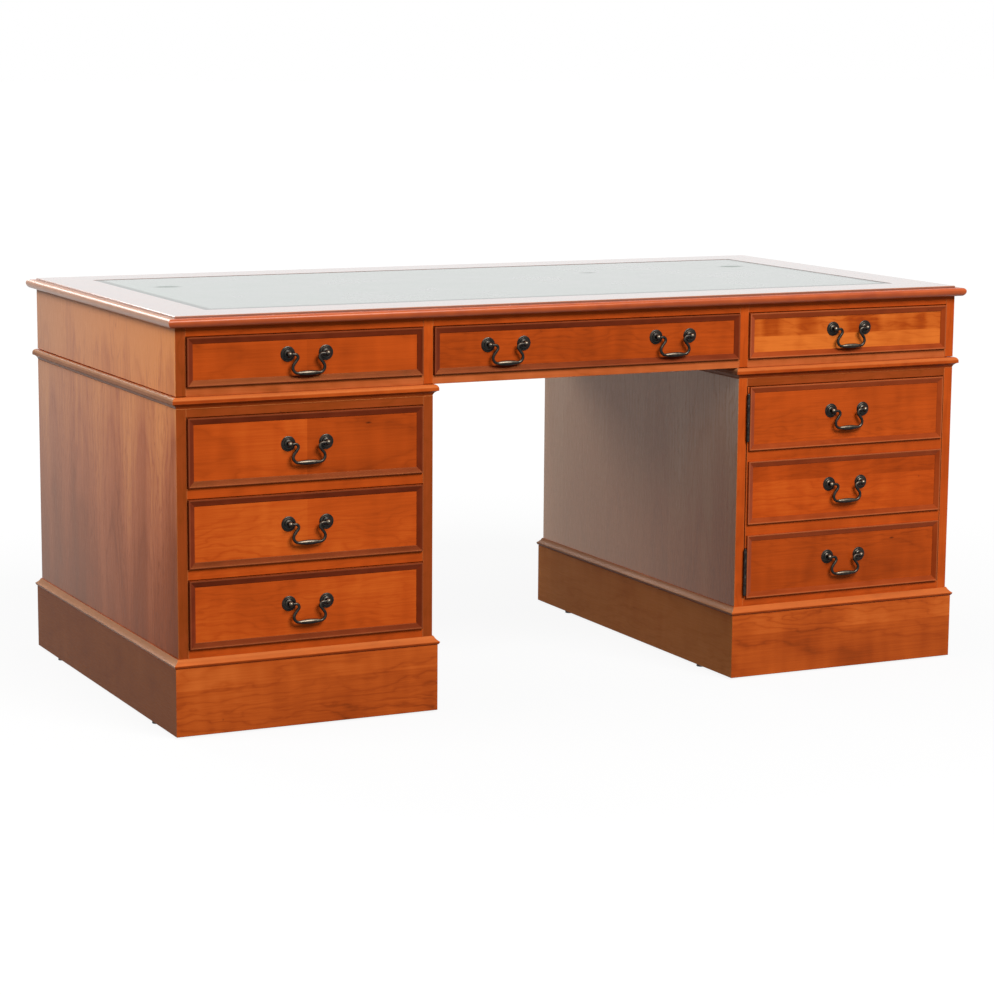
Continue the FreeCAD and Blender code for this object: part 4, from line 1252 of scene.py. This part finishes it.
@dataclass
class Frieze:
    """The carcase over the pedestals: uprights, rails, spine, runners and drawer stops."""

    spine: float = 20
    shadow_gap: float = 1.0

    def uprights(self) -> list[Item]:
        """Saw the ends and the dividers, whose front edges are the posts.

        Returns:
            The four boards from left to right.
        """
        heights = (SIZES.frieze_foot + self.shadow_gap, SIZES.frieze_head)
        boards = [board((left, left + SIZES.side), SIZES.depth, heights, Axis.Z, VENEER)
                  for left in (-SIZES.half_length, -SIZES.kneehole - SIZES.side, SIZES.kneehole,
                               SIZES.half_length - SIZES.side)]
        reface(boards[0], STILE_AND_SHADE, facing(FORWARD))
        # the outer sides get painted shade and sheen
        reface(boards[0], SIDE, facing(LEFTWARD))
        reface(boards[-1], SIDE, facing(RIGHTWARD))
        return boards

    def front_pieces(self, bay: Pair) -> list[Item]:
        """Make the rails, the runners and the stop at the front of a bay.

        Args:
            bay: where the bay starts and ends along X.

        Returns:
            The pieces.
        """
        low = (SIZES.frieze_foot, SIZES.frieze_floor)
        high = (SIZES.frieze_floor + SIZES.frieze_opening, SIZES.frieze_head)
        pieces = [board(bay, SIZES.rail, low, Axis.X, RAIL), board(bay, SIZES.rail, high, Axis.X, VENEER),
                  drawer_stop(sum(bay) / 2, SIZES.frieze_floor)]
        return pieces + wall_strips(bay, SIZES.runner, (SIZES.rail[1], -self.spine / 2), low)

    def build(self) -> None:
        """Build the front and its twin at the rear, and glue them up."""
        pieces = self.uprights()
        for middle, width in ((-SIZES.pedestal_middle, SIZES.opening), (0, 2 * SIZES.kneehole),
                              (SIZES.pedestal_middle, SIZES.opening)):
            bay = span(middle, width)
            pieces.append(board(bay, span(0, self.spine), (SIZES.frieze_foot, SIZES.frieze_head), Axis.X,
                                LINING))
            fronts = self.front_pieces(bay)
            pieces += fronts + [copy_of(item, HALF_TURN) for item in fronts]
        hand_over(joined(pieces), "frieze_boards", CARCASE, "frieze_carcase")


@dataclass
class Pedestal:
    """One pedestal with all that is fixed to it. The left one is drawn, the right one copied."""

    partition: Pair = (10, 22)
    rail: float = 20
    bottom_rail: float = 20
    bottom_board: float = 12
    door_stop: Point = (60, 12, 14)
    bearer: float = 15
    shelf: Pair = (373, 391)
    shelf_end: float = 372
    shelf_gap: float = 0.5
    shelf_ease: float = 1.5
    top_overhang: float = 9
    top_end: float = 20
    nosings: tuple[Pair, Pair] = ((9.5, 0.12), (8.0, 0.5))
    plinth_overhang: float = 8
    plinth_board: float = 20
    cap_overhang: float = 3.4
    cap_rise: float = 16.5
    cap_tip: float = 5.8
    cap_flat: float = 2
    cap_hollow: float = 24
    cap_nose: float = 7

    @property
    def walls(self) -> Pair:
        """Inner faces of the outer side and the kneehole side."""
        return span(-SIZES.pedestal_middle, SIZES.opening)

    def build(self) -> None:
        """Build the left pedestal's pieces and their twins on the right."""
        carcase = joined(self.sides() + self.rails() + self.inside())
        for side, item in (("left", carcase), ("right", copy_of(carcase, HALF_TURN))):
            hand_over(item, f"{side}_pedestal_boards", CARCASE, f"{side}_pedestal_carcase")
        for item, slot, node in (
                (self.shelf_board(), "yew_veneer", "cupboard_shelves"),
                (self.nosed_top(), "yew_moulding", "pedestal_tops"),
                (self.plinth(), "yew_veneer", "plinths"),
                (self.cap(), "yew_moulding", "plinth_mouldings")):
            hand_over(joined([item, copy_of(item, HALF_TURN)]), node + "_dressed", CARCASE, node)

    def sides(self) -> list[Item]:
        """Saw both sides, whose front edges are the stiles.

        Returns:
            The outer side and the kneehole side.
        """
        heights = (SIZES.carcase_foot, SIZES.carcase_head)
        boards = [board((edge, edge + SIZES.side), SIZES.depth, heights, Axis.Z, VENEER)
                  for edge in (-SIZES.half_length, self.walls[1])]
        # the stiles get the darker yew; the sides get painted shade and light in their finish
        for item, finish, way in zip(boards, (SIDE, KNEEHOLE), (LEFTWARD, RIGHTWARD)):
            reface(item, STILE_AND_SHADE, facing(FORWARD))
            reface(item, finish, facing(way))
        return boards

    def rails(self) -> list[Item]:
        """Make the rails of both faces, with the drawers' runners and stops.

        Returns:
            The pieces.
        """
        face, back = SIZES.rail
        low = (SIZES.carcase_foot, SIZES.floor_level)
        high = (SIZES.floor_level + SIZES.door_opening, SIZES.carcase_head)
        spans = [((face, face + self.bottom_rail), low), ((-face - self.bottom_rail, -face), low),
                 ((face, back), high), ((-back, -face), high)]
        pieces = []
        for level in Level:
            floor = SIZES.drawer_floor(level)
            pieces.append(drawer_stop(-SIZES.pedestal_middle, floor))
            if level is not Level.BOTTOM:
                heights = (floor - self.rail, floor)
                spans.append((SIZES.rail, heights))
                pieces += wall_strips(self.walls, SIZES.runner, (back, self.partition[0]), heights)
        # the rails under the pedestal top get the darker yew as painted shade of the nosing
        return pieces + [board(self.walls, depth, heights, Axis.X, STILE_AND_SHADE if heights == high else VENEER)
                         for depth, heights in spans]

    def inside(self) -> list[Item]:
        """Make the bottom, the partition, the door stop and the shelf bearers.

        Returns:
            The pieces.
        """
        left = self.walls[0]
        floor = SIZES.floor_level
        ceiling = floor + SIZES.door_opening
        width, depth, height = self.door_stop
        face = SIZES.half_depth - SIZES.front - SIZES.stop_gap
        bottom_depth = -2 * (SIZES.rail[0] + self.bottom_rail)
        pieces = [
            board(self.walls, span(0, bottom_depth), (floor - self.bottom_board, floor), Axis.Y, LINING),
            board(self.walls, self.partition, (floor, SIZES.carcase_head), Axis.X, LINING),
            board((left, left + width), (face - depth, face), (ceiling - height, ceiling), Axis.X, LINING),
        ]
        return pieces + wall_strips(self.walls, self.bearer, (self.partition[1], self.shelf_end),
                                    (self.shelf[0] - self.bearer, self.shelf[0]))

    def shelf_board(self) -> Item:
        """Return the cupboard's shelf."""
        return board(span(-SIZES.pedestal_middle, SIZES.opening - 2 * self.shelf_gap),
                     (self.partition[1], self.shelf_end), self.shelf, Axis.X, VENEER, self.shelf_ease)

    def nosed_top(self) -> Item:
        """Work the edges of the pedestal's top to a nosing.

        Returns:
            The top.
        """
        heights = (SIZES.carcase_head, SIZES.frieze_foot)
        item = block(span(-SIZES.pedestal_middle, SIZES.pedestal_width + 2 * self.top_overhang),
                     span(0, 2 * (SIZES.half_depth + self.top_overhang)), heights)
        for level, (nosing, roundness) in zip(heights, self.nosings):
            with editing(item, "EDGE", edges_at(item, level)):
                bpy.ops.mesh.bevel(offset=nosing * MM, segments=8, profile=roundness, affect="EDGES")
        smooth(item)
        lay_grain(item, crossed_ends(-SIZES.pedestal_middle, SIZES.pedestal_width / 2 - self.top_end))
        # painted highlight: the upward slopes of the nosing get the pale mark
        mark_wear_and_highlight(item, looks_up)
        dress(item, MOULDING)
        # faces that look to the sides get the painted sheen
        reface(item, PAINTED_SHEEN_MOULDING, sideways)
        return item

    def plinth(self) -> Item:
        """Glue up the four mitred boards of the plinth.

        Returns:
            The plinth.
        """
        section = eased_section(self.plinth_board, SIZES.carcase_foot - SIZES.plinth_foot)
        item = mitred_frame(section, SIZES.pedestal_width + 2 * self.plinth_overhang,
                            2 * (SIZES.half_depth + self.plinth_overhang), FIGURED)
        item.data.transform(shift(-SIZES.pedestal_middle, 0, SIZES.plinth_foot))
        # the outer side gets painted shade, the kneehole side painted light
        reface(item, SHADED_PLINTH_SIDE, facing(LEFTWARD))
        reface(item, LIT_PLINTH_KNEE, facing(RIGHTWARD))
        return item

    def cap(self) -> Item:
        """Run the moulding on the plinth: a hollow slope over a rounded nose.

        Returns:
            The moulding.
        """
        width = self.plinth_overhang + self.cap_overhang
        tip = (0.0, self.cap_tip)
        foot = (self.cap_overhang, 0.0)
        section = [(width, 0.0), (width, self.cap_rise),
                   *arc((width - self.cap_flat, self.cap_rise), tip, self.cap_hollow, -1),
                   *arc(tip, foot, self.cap_nose, 1), foot]
        item = mitred_frame(section, SIZES.pedestal_width + 2 * width, 2 * (SIZES.half_depth + width),
                            MOULDING)
        item.data.transform(shift(-SIZES.pedestal_middle, 0, SIZES.carcase_foot))
        # painted highlight: the upward slopes of the cap get the pale mark
        mark_wear_and_highlight(item, looks_up)
        # faces that look to the sides get the painted sheen
        reface(item, PAINTED_SHEEN_MOULDING, sideways)
        return item


@dataclass
class DrawerMoulding:
    """The moulding round a drawer front: a rounded lip, then a slope down to the panel."""

    finish: LacqueredYew
    lip: float = 4.4
    section: Section = ((12, 0), (12, 0.8), (11.4, 1.15), (10.9, 1.3), (6.6, 2.95), (2.9, 4.4), (2.4, 4.7),
                        (1.9, 4.94), (1.3, 5), (0.7, 4.92), (0.2, 4.5), (0, 3.9), (0, 0))

    @property
    def width(self) -> float:
        """How far it covers the front."""
        return self.section[0][0]

    def upright_frame(self, width: float, height: float, middle: Point) -> Item:
        """Mitre the moulding round a front, on its face.

        Args:
            width: the front's width in millimetres.
            height: the front's height.
            middle: the middle of the front.

        Returns:
            The frame.
        """
        item = mitred_frame(self.section, width, height, self.finish)
        # painted highlight: the crest of the lip gets the pale mark
        mark_wear_and_highlight(item, lambda face: face.center.z > self.lip * MM)
        item.data.transform(shift(*middle) @ UPRIGHT)
        return item


@dataclass
class Drawer:
    """A drawer, drawn with the foot of its opening at the origin and its face at Y 0."""

    width: float
    height: float
    depth: float
    wall: float = 10
    side_gap: float = 1
    slide_gap: float = 0.4
    headroom: float = 15
    floor: Pair = (8.4, 13.4)
    floor_ease: float = 0.3
    # drawers get the bead with painted shade
    moulding: DrawerMoulding = field(default_factory=lambda: DrawerMoulding(SHADED_BEAD))

    def master(self) -> Item:
        """Build the drawer: front, moulding, sides, floor and back.

        Returns:
            The drawer.
        """
        width = self.width - 2 * SIZES.gap
        foot, head = SIZES.gap_below, self.height - SIZES.gap
        outer = self.width / 2 - self.side_gap
        inner = outer - self.wall
        rim = self.height - self.headroom + self.slide_gap
        box, walls = (SIZES.front, self.depth), (self.slide_gap, rim)
        back = (self.depth - self.wall, self.depth)
        front = board(span(0, width), (0, SIZES.front), (foot, head), Axis.X, VENEER)
        with editing(front, "FACE", facing(FORWARD)):
            bpy.ops.mesh.bisect(plane_co=(0, 0, 0), plane_no=(1, 0, 0))
        return joined([
            front,
            self.moulding.upright_frame(width, head - foot, (0, 0, (head + foot) / 2)),
            board((-outer, -inner), box, walls, Axis.Y, LINING),
            board((inner, outer), box, walls, Axis.Y, LINING),
            board((-inner, inner), box, self.floor, Axis.X, LINING, self.floor_ease),
            board((-inner, inner), back, (self.floor[1], rim), Axis.X, LINING),
        ])


@dataclass
class Door:
    """A cupboard door made up as three drawers, drawn as a drawer is."""

    hinge_gap: float = 2.4
    margin: float = 3
    leaf: float = 0.3
    leaf_ease: float = 0.1
    tones: tuple[float, ...] = (-0.12, -0.03, -0.03)
    leaves: tuple[LacqueredYew, ...] = (VENEER, SAPWOOD, VENEER)
    # the door gets the bead with painted light
    moulding: DrawerMoulding = field(default_factory=lambda: DrawerMoulding(LIT_BEAD))

    def master(self) -> Item:
        """Build the door with the mouldings of its dummy drawers, each round its own leaf.

        Returns:
            The door.
        """
        left, right = self.hinge_gap - SIZES.opening / 2, SIZES.opening / 2 - SIZES.gap
        centre = (left + right) / 2
        width = right - left - 2 * self.margin
        height = SIZES.drawer_opening - SIZES.gap - SIZES.gap_below
        cover = 2 * self.moulding.width
        pieces = [board((left, right), (0, SIZES.front), (SIZES.gap_below, SIZES.door_opening - SIZES.gap),
                        Axis.X, VENEER)]
        for level, tone, finish in zip(Level, self.tones, self.leaves):
            middle = level.value * SIZES.drawer_pitch + SIZES.gap_below + height / 2
            pieces.append(self.moulding.upright_frame(width, height, (centre, 0, middle)))
            leaf = board(span(centre, width - cover), span(0, 2 * self.leaf), span(middle, height - cover),
                         Axis.X, finish, self.leaf_ease)
            set_tone(leaf, (tone, tone))
            pieces.append(leaf)
        return joined(pieces)


@dataclass
class Fronts:
    """All drawers and doors, at the front and half turned at the rear."""

    pedestal_drawer: Drawer = field(
        default_factory=lambda: Drawer(SIZES.opening, SIZES.drawer_opening, 430))
    side_drawer: Drawer = field(
        default_factory=lambda: Drawer(SIZES.opening, SIZES.frieze_opening, 400))
    centre_drawer: Drawer = field(
        default_factory=lambda: Drawer(2 * SIZES.kneehole, SIZES.frieze_opening, 400))
    door: Door = field(default_factory=Door)
    banded: str = "right_frieze_drawer"
    tones: dict[str, Pair] = field(default_factory=lambda: {
        "top_drawer": (0.08, -0.1), "middle_drawer": (0.12, 0.06), "bottom_drawer": (0.09, 0.09),
        "left_frieze_drawer": (0.0, -0.07), "centre_frieze_drawer": (-0.12, -0.12)})

    def build(self) -> None:
        """Model each kind once and set its copies in their openings."""
        middle = SIZES.pedestal_middle
        plan = (
            (self.pedestal_drawer.master(), {f"{level.name.lower()}_drawer":
                                             (-middle, SIZES.drawer_floor(level)) for level in Level}),
            (self.side_drawer.master(), {"left_frieze_drawer": (-middle, SIZES.frieze_floor),
                                         "right_frieze_drawer": (middle, SIZES.frieze_floor)}),
            (self.centre_drawer.master(), {"centre_frieze_drawer": (0, SIZES.frieze_floor)}),
            (self.door.master(), {"door": (middle, SIZES.floor_level)}),
        )
        for master, places in plan:
            for name, (across, up) in places.items():
                for side, turn, sign in SIDES:
                    node = f"{side}_{name}"
                    item = copy_of(master, turn @ shift(across, -SIZES.half_depth, up))
                    if name in self.tones:
                        set_tone(item, self.tones[name], sign * across, sign)
                    if name == self.banded:
                        item.data.materials[0] = BANDED.material()
                        # painted light: the right frieze drawer's bead is the lighter copy
                        item.data.materials[1] = LIT_BEAD.material()
                    hand_over(item, node + "_dressed", node, node)
            bpy.data.objects.remove(master)


@dataclass
class Handle:
    """A swan-neck handle: a bail that hangs in the round heads of two posts."""

    spacing: float = 76
    axis: float = 10
    wire: float = 2.9
    end: float = 2.5
    neck: float = 10.5
    shoulder: float = 6
    corner: float = 10.5
    splay: float = 52
    drop: float = 35.4
    grip: float = 5
    grip_reach: float = 21
    head: float = 5.6
    head_end: float = 3.05
    head_steps: int = 10
    post: float = 3.4
    post_seat: float = 0.1
    clearance: float = 0.06
    merge: float = 0.01
    plate: Section = ((14.5, 0), (14.5, 0.5), (14.1, 1.1), (13.2, 1.5), (12.3, 1.3), (11.5, 1.5),
                      (11.0, 2.3), (10.2, 2.8), (9.0, 2.8), (7.8, 2.6), (7.0, 3.0), (6.4, 3.8),
                      (5.6, 4.2), (3.4, 4.2))
    shank: Section = ((2.1, -26), (2.5, -25.6), (2.5, 0))
    nut: Section = ((4.0, -24), (4.6, -23.5), (4.6, -20))
    # painted highlight: the way towards the painted light, and how tightly the mark gathers
    light: Point = (-0.35, -0.5, 0.79)
    light_power: float = 1.5
    # how strongly each part gets the pale mark: the grip from wear and painted highlight, the rest from
    # painted highlight
    grip_wear_and_highlight: float = 0.52
    arm_highlight: float = 0.32
    plate_highlight: float = 0.3
    post_highlight: float = 0.55

    def bail(self) -> Item:
        """Draw and bend half of the bail from a wire, and mirror it.

        Returns:
            The bail.
        """
        reach = self.spacing / 2
        lean = math.radians(self.splay)
        bend = math.pi - lean
        slope = Vector((math.cos(lean), 0, -math.sin(lean)))
        square = Vector((-math.sin(lean), 0, -math.cos(lean)))
        shoulder = Vector((reach - self.neck, 0, -self.shoulder))
        start = shoulder + square * self.shoulder
        run = (self.drop - self.corner + square.z * self.corner + start.z) / -slope.z
        corner = start + slope * run + square * self.corner
        item = ring(self.wire, 16, (reach + self.end, 0, 0), Axis.X)
        draw_out((-self.end - self.neck, 0, 0))
        bpy.ops.mesh.spin(steps=9, angle=bend, center=metres(shoulder), axis=(0, 1, 0))
        draw_out(slope * run)
        bpy.ops.mesh.spin(steps=9, angle=-bend, center=metres(corner), axis=(0, 1, 0))
        self.swell(corner.x)
        bpy.ops.object.mode_set(mode="OBJECT")
        mirror = item.modifiers.new("other_half", "MIRROR")
        mirror.merge_threshold = self.merge * MM
        bpy.ops.object.modifier_apply(modifier=mirror.name)
        bpy.ops.object.mode_set(mode="EDIT")
        bpy.ops.mesh.select_all(action="SELECT")
        bpy.ops.mesh.remove_doubles(threshold=self.merge * MM)
        close_up()
        # the grip gets wear and painted highlight, the arms painted highlight
        self.patina_and_highlight(item, lambda spot: self.grip_wear_and_highlight if abs(spot.x) < self.grip_reach * MM else self.arm_highlight)
        return item

    def swell(self, start: float, steps: int = 8) -> None:
        """Draw the wire from its lower bend to the middle of the grip, swelling as it goes.

        Args:
            start: how far from the middle the bend ends, in millimetres.
            steps: how many rings make the swelling.
        """
        across, radius = start, self.wire
        for step in range(1, steps + 1):
            place = start * (1 - step / steps)
            share = 1 - min(place / self.grip_reach, 1) ** 2
            swollen = self.wire + (self.grip - self.wire) * share
            draw_out((place - across, 0, 0), swollen / radius, (place, 0, -self.drop))
            across, radius = place, swollen

    def patina_and_highlight(self, item: Item, share: Callable[[Vector], float]) -> None:
        """Give a piece its patina, and mark it paler where it faces the painted light, most on the grip,
        where hands also wear it.

        Args:
            item: the piece.
            share: how strongly a place on the piece gets the pale mark.
        """
        dress(item, BRASS)
        worn = item.data.attributes.new(WEAR_AND_HIGHLIGHT, "FLOAT", "POINT")
        for vertex, mark in zip(item.data.vertices, worn.data):
            # painted highlight: paler on faces that look towards the light
            mark.value = share(vertex.co) * max(vertex.normal.dot(self.light), 0) ** self.light_power

    def post_set(self) -> Item:
        """Turn a post with its round plate and its nut, on a face at Y 0.

        Returns:
            The post set.
        """
        start = math.asin(self.post / self.head)
        angles = [start + (self.head_end - start) * i / self.head_steps for i in range(self.head_steps + 1)]
        dome = [(self.head * math.sin(angle), self.axis - self.head * math.cos(angle)) for angle in angles]
        post = turned([(self.post, self.plate[-1][1] - self.post_seat), *dome], 32)
        bore(post, self.wire + self.clearance, 3 * self.head, (0, -self.axis, 0), Axis.X)
        pieces = [turned(self.plate, 40), post, turned(self.shank, 16), turned(self.nut, 6)]
        # the plate and the post get painted highlight, the shank and the nut none
        for item, part_highlight in zip(pieces, (self.plate_highlight, self.post_highlight, 0, 0)):
            self.patina_and_highlight(item, lambda spot: part_highlight)
        return joined(pieces)


@dataclass
class Hinge:
    """The door leaf of a butt hinge, drawn with its pin on the Z axis, its foot at the origin."""

    length: float = 90
    radius: float = 3.5
    pin: float = 1.86
    gap: float = 0.3
    edge: float = 0.4
    leaf_ease: float = 0.15
    stand_off: float = 4
    leaf: Pair = (0.3, 1.2)
    depth: float = 18
    wing: float = 2
    knuckles: tuple[int, ...] = (1, 3)

    def master(self) -> Item:
        """Build the plate and the knuckles that it carries.

        Returns:
            The leaf.
        """
        knuckle = (self.length - 4 * self.gap) / 5
        narrow = self.radius - self.edge
        swell = self.radius / narrow
        pieces = [block(self.leaf, (self.stand_off, self.stand_off + self.depth), (0, self.length),
                        ease=self.leaf_ease)]
        for index in self.knuckles:
            foot = index * (knuckle + self.gap)
            barrel = ring(narrow, 24, (0, 0, foot), Axis.Z)
            draw_out((0, 0, self.edge), swell, (0, 0, foot + self.edge))
            draw_out((0, 0, knuckle - 2 * self.edge))
            draw_out((0, 0, self.edge), 1 / swell, (0, 0, foot + knuckle))
            close_up()
            bore(barrel, self.pin, 3 * knuckle, (0, 0, foot), Axis.Z)
            pieces += [barrel, block(self.leaf, (self.wing, self.stand_off), (foot, foot + knuckle),
                                     ease=self.leaf_ease)]
        for item in pieces:
            dress(item, HINGE)
        return joined(pieces)


@dataclass
class Fittings:
    """All handles, the hinges and the glides, at the front and half turned at the rear."""

    rise: float = 7
    centre_reach: float = 183
    hinge_line: float = 357.2
    hinge_feet: Pair = (10, 325)
    handle: Handle = field(default_factory=Handle)
    hinge: Hinge = field(default_factory=Hinge)

    def level(self, opening: float) -> float:
        """Return the height of the posts over the foot of an opening."""
        return SIZES.gap_below + (opening - SIZES.gap - SIZES.gap_below) / 2 + self.rise

    def plan(self) -> dict[str, tuple[str, dict[str, Pair]]]:
        """Lay out the handles of one face of the desk.

        Returns:
            For each node of posts, the body that it is fixed to, and its bails with their places.
        """
        middle = SIZES.pedestal_middle
        frieze = SIZES.frieze_floor + self.level(SIZES.frieze_opening)
        levels = {level.name.lower(): SIZES.drawer_floor(level) + self.level(SIZES.drawer_opening)
                  for level in Level}
        spots = {name: {f"{name}_bail": (-middle, height)} for name, height in levels.items()}
        spots["left_frieze"] = {"left_frieze_bail": (-middle, frieze)}
        spots["right_frieze"] = {"right_frieze_bail": (middle, frieze)}
        spots["centre_frieze"] = {"centre_frieze_bail_left": (-self.centre_reach, frieze),
                                  "centre_frieze_bail_right": (self.centre_reach, frieze)}
        plan = {f"{name}_handle_posts": (f"{name}_drawer", bails) for name, bails in spots.items()}
        door_bails = {f"door_bail_{name}": (middle, height) for name, height in levels.items()}
        return plan | {"door_fittings": ("door", door_bails)}

    def build(self) -> None:
        """Model one bail, one post and one hinge leaf, and set their copies on every front."""
        bail, posts, leaf = self.handle.bail(), self.handle.post_set(), self.hinge.master()
        face = -SIZES.half_depth
        for side, turn, _ in SIDES:
            for node, (body, bails) in self.plan().items():
                pieces = [copy_of(posts, turn @ shift(foot, face, height))
                          for across, height in bails.values() for foot in span(across, self.handle.spacing)]
                if node == "door_fittings":
                    pieces += [copy_of(leaf, turn @ shift(self.hinge_line, face - self.hinge.stand_off,
                                                          SIZES.floor_level + foot))
                               for foot in self.hinge_feet]
                hand_over(joined(pieces), f"{side}_{node}_dressed", f"{side}_{body}",
                          f"{side}_{node}")
                for name, (across, height) in bails.items():
                    item = copy_of(bail, turn @ shift(across, face - self.handle.axis, height))
                    hand_over(item, f"{side}_{name}_dressed", f"{side}_{name}",
                              f"{side}_{name}")
        for master in (bail, posts, leaf):
            bpy.data.objects.remove(master)
        for name, finish in (("hinge_frame_leaves", HINGE), ("floor_glides", PLASTIC)):
            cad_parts[name].data.materials[0] = finish.material()
            log.info("%s keeps its solid", name)


@dataclass(frozen=True)
class SoftBox:
    """A lamp that faces the middle of the desk, in metres and watts."""

    name: str
    place: Point
    size: Pair
    power: float
    aim: Point = (0, 0, 0.4)

    def hang(self) -> None:
        """Hang the lamp, out of the camera's sight."""
        bpy.ops.object.light_add(type="AREA", location=self.place)
        item = bpy.context.object
        item.name = self.name
        item.data.shape = "RECTANGLE"
        item.data.size, item.data.size_y = self.size
        item.data.energy = self.power
        way = Vector(self.aim) - Vector(self.place)
        item.rotation_euler = way.to_track_quat("-Z", "Y").to_euler()
        item.visible_camera = False


@dataclass
class Studio:
    """A pale room with soft boxes, and the camera where the photograph was taken."""

    eye: Point = (-2545.7, -5243.3, 1299.2)
    turn: Point = (-25.976, 80.570, 0.417)
    lens: float = 101.92
    sensor: float = 36
    sight: float = 200
    floor_size: float = 120
    ambient: float = 0.36
    lamps: tuple[SoftBox, ...] = (SoftBox("key_soft_box", (0.7, -4.1, 4.0), (3.0, 2.2), 362),
                                  SoftBox("left_soft_box", (-2.5, 0.1, 2.2), (1.2, 1.2), 40),
                                  SoftBox("rear_soft_box", (-1.5, 5.0, 3.6), (3.0, 2.2), 150))

    def build(self) -> None:
        """Set up the camera, the floor, the world and the lamps."""
        self.camera()
        self.floor()
        self.world()
        for lamp in self.lamps:
            lamp.hang()
        bpy.context.scene.view_settings.view_transform = "Standard"

    def camera(self) -> None:
        """Stand the camera at the photograph's place."""
        bpy.ops.object.camera_add()
        camera = bpy.context.object
        camera.matrix_world = shift(*self.eye)
        for angle, axis in zip(self.turn, "ZXZ"):
            camera.matrix_world = camera.matrix_world @ Matrix.Rotation(math.radians(angle), 4, axis)
        camera.data.lens = self.lens
        camera.data.sensor_width = self.sensor
        camera.data.clip_end = self.sight
        bpy.context.scene.camera = camera

    def floor(self) -> None:
        """Lay the paper floor."""
        bpy.ops.mesh.primitive_plane_add(size=self.floor_size)
        item = bpy.context.object
        item.name = "paper_floor"
        dress(item, PAPER)

    def world(self) -> None:
        """Surround the desk with even light and a white background."""
        world = bpy.data.worlds.new("pale_room")
        world.use_nodes = True
        tree = world.node_tree
        tree.nodes.clear()
        level = add_node(tree, "MapRange", {0: seen(tree), 3: self.ambient, 4: 1})
        light = add_node(tree, "Background", {"Color": srgb("#ffffff"), "Strength": level})
        add_node(tree, "OutputWorld", {"Surface": light})
        bpy.context.scene.world = world


def main() -> None:
    """Build the desk piece by piece, then the studio round it."""
    logging.basicConfig(level=logging.INFO, format="%(message)s")
    for part in (Desktop(), Frieze(), Pedestal(), Fronts(), Fittings(), Studio()):
        part.build()
        log.info("%s built", type(part).__name__)


if __name__ == "__main__":
    main()
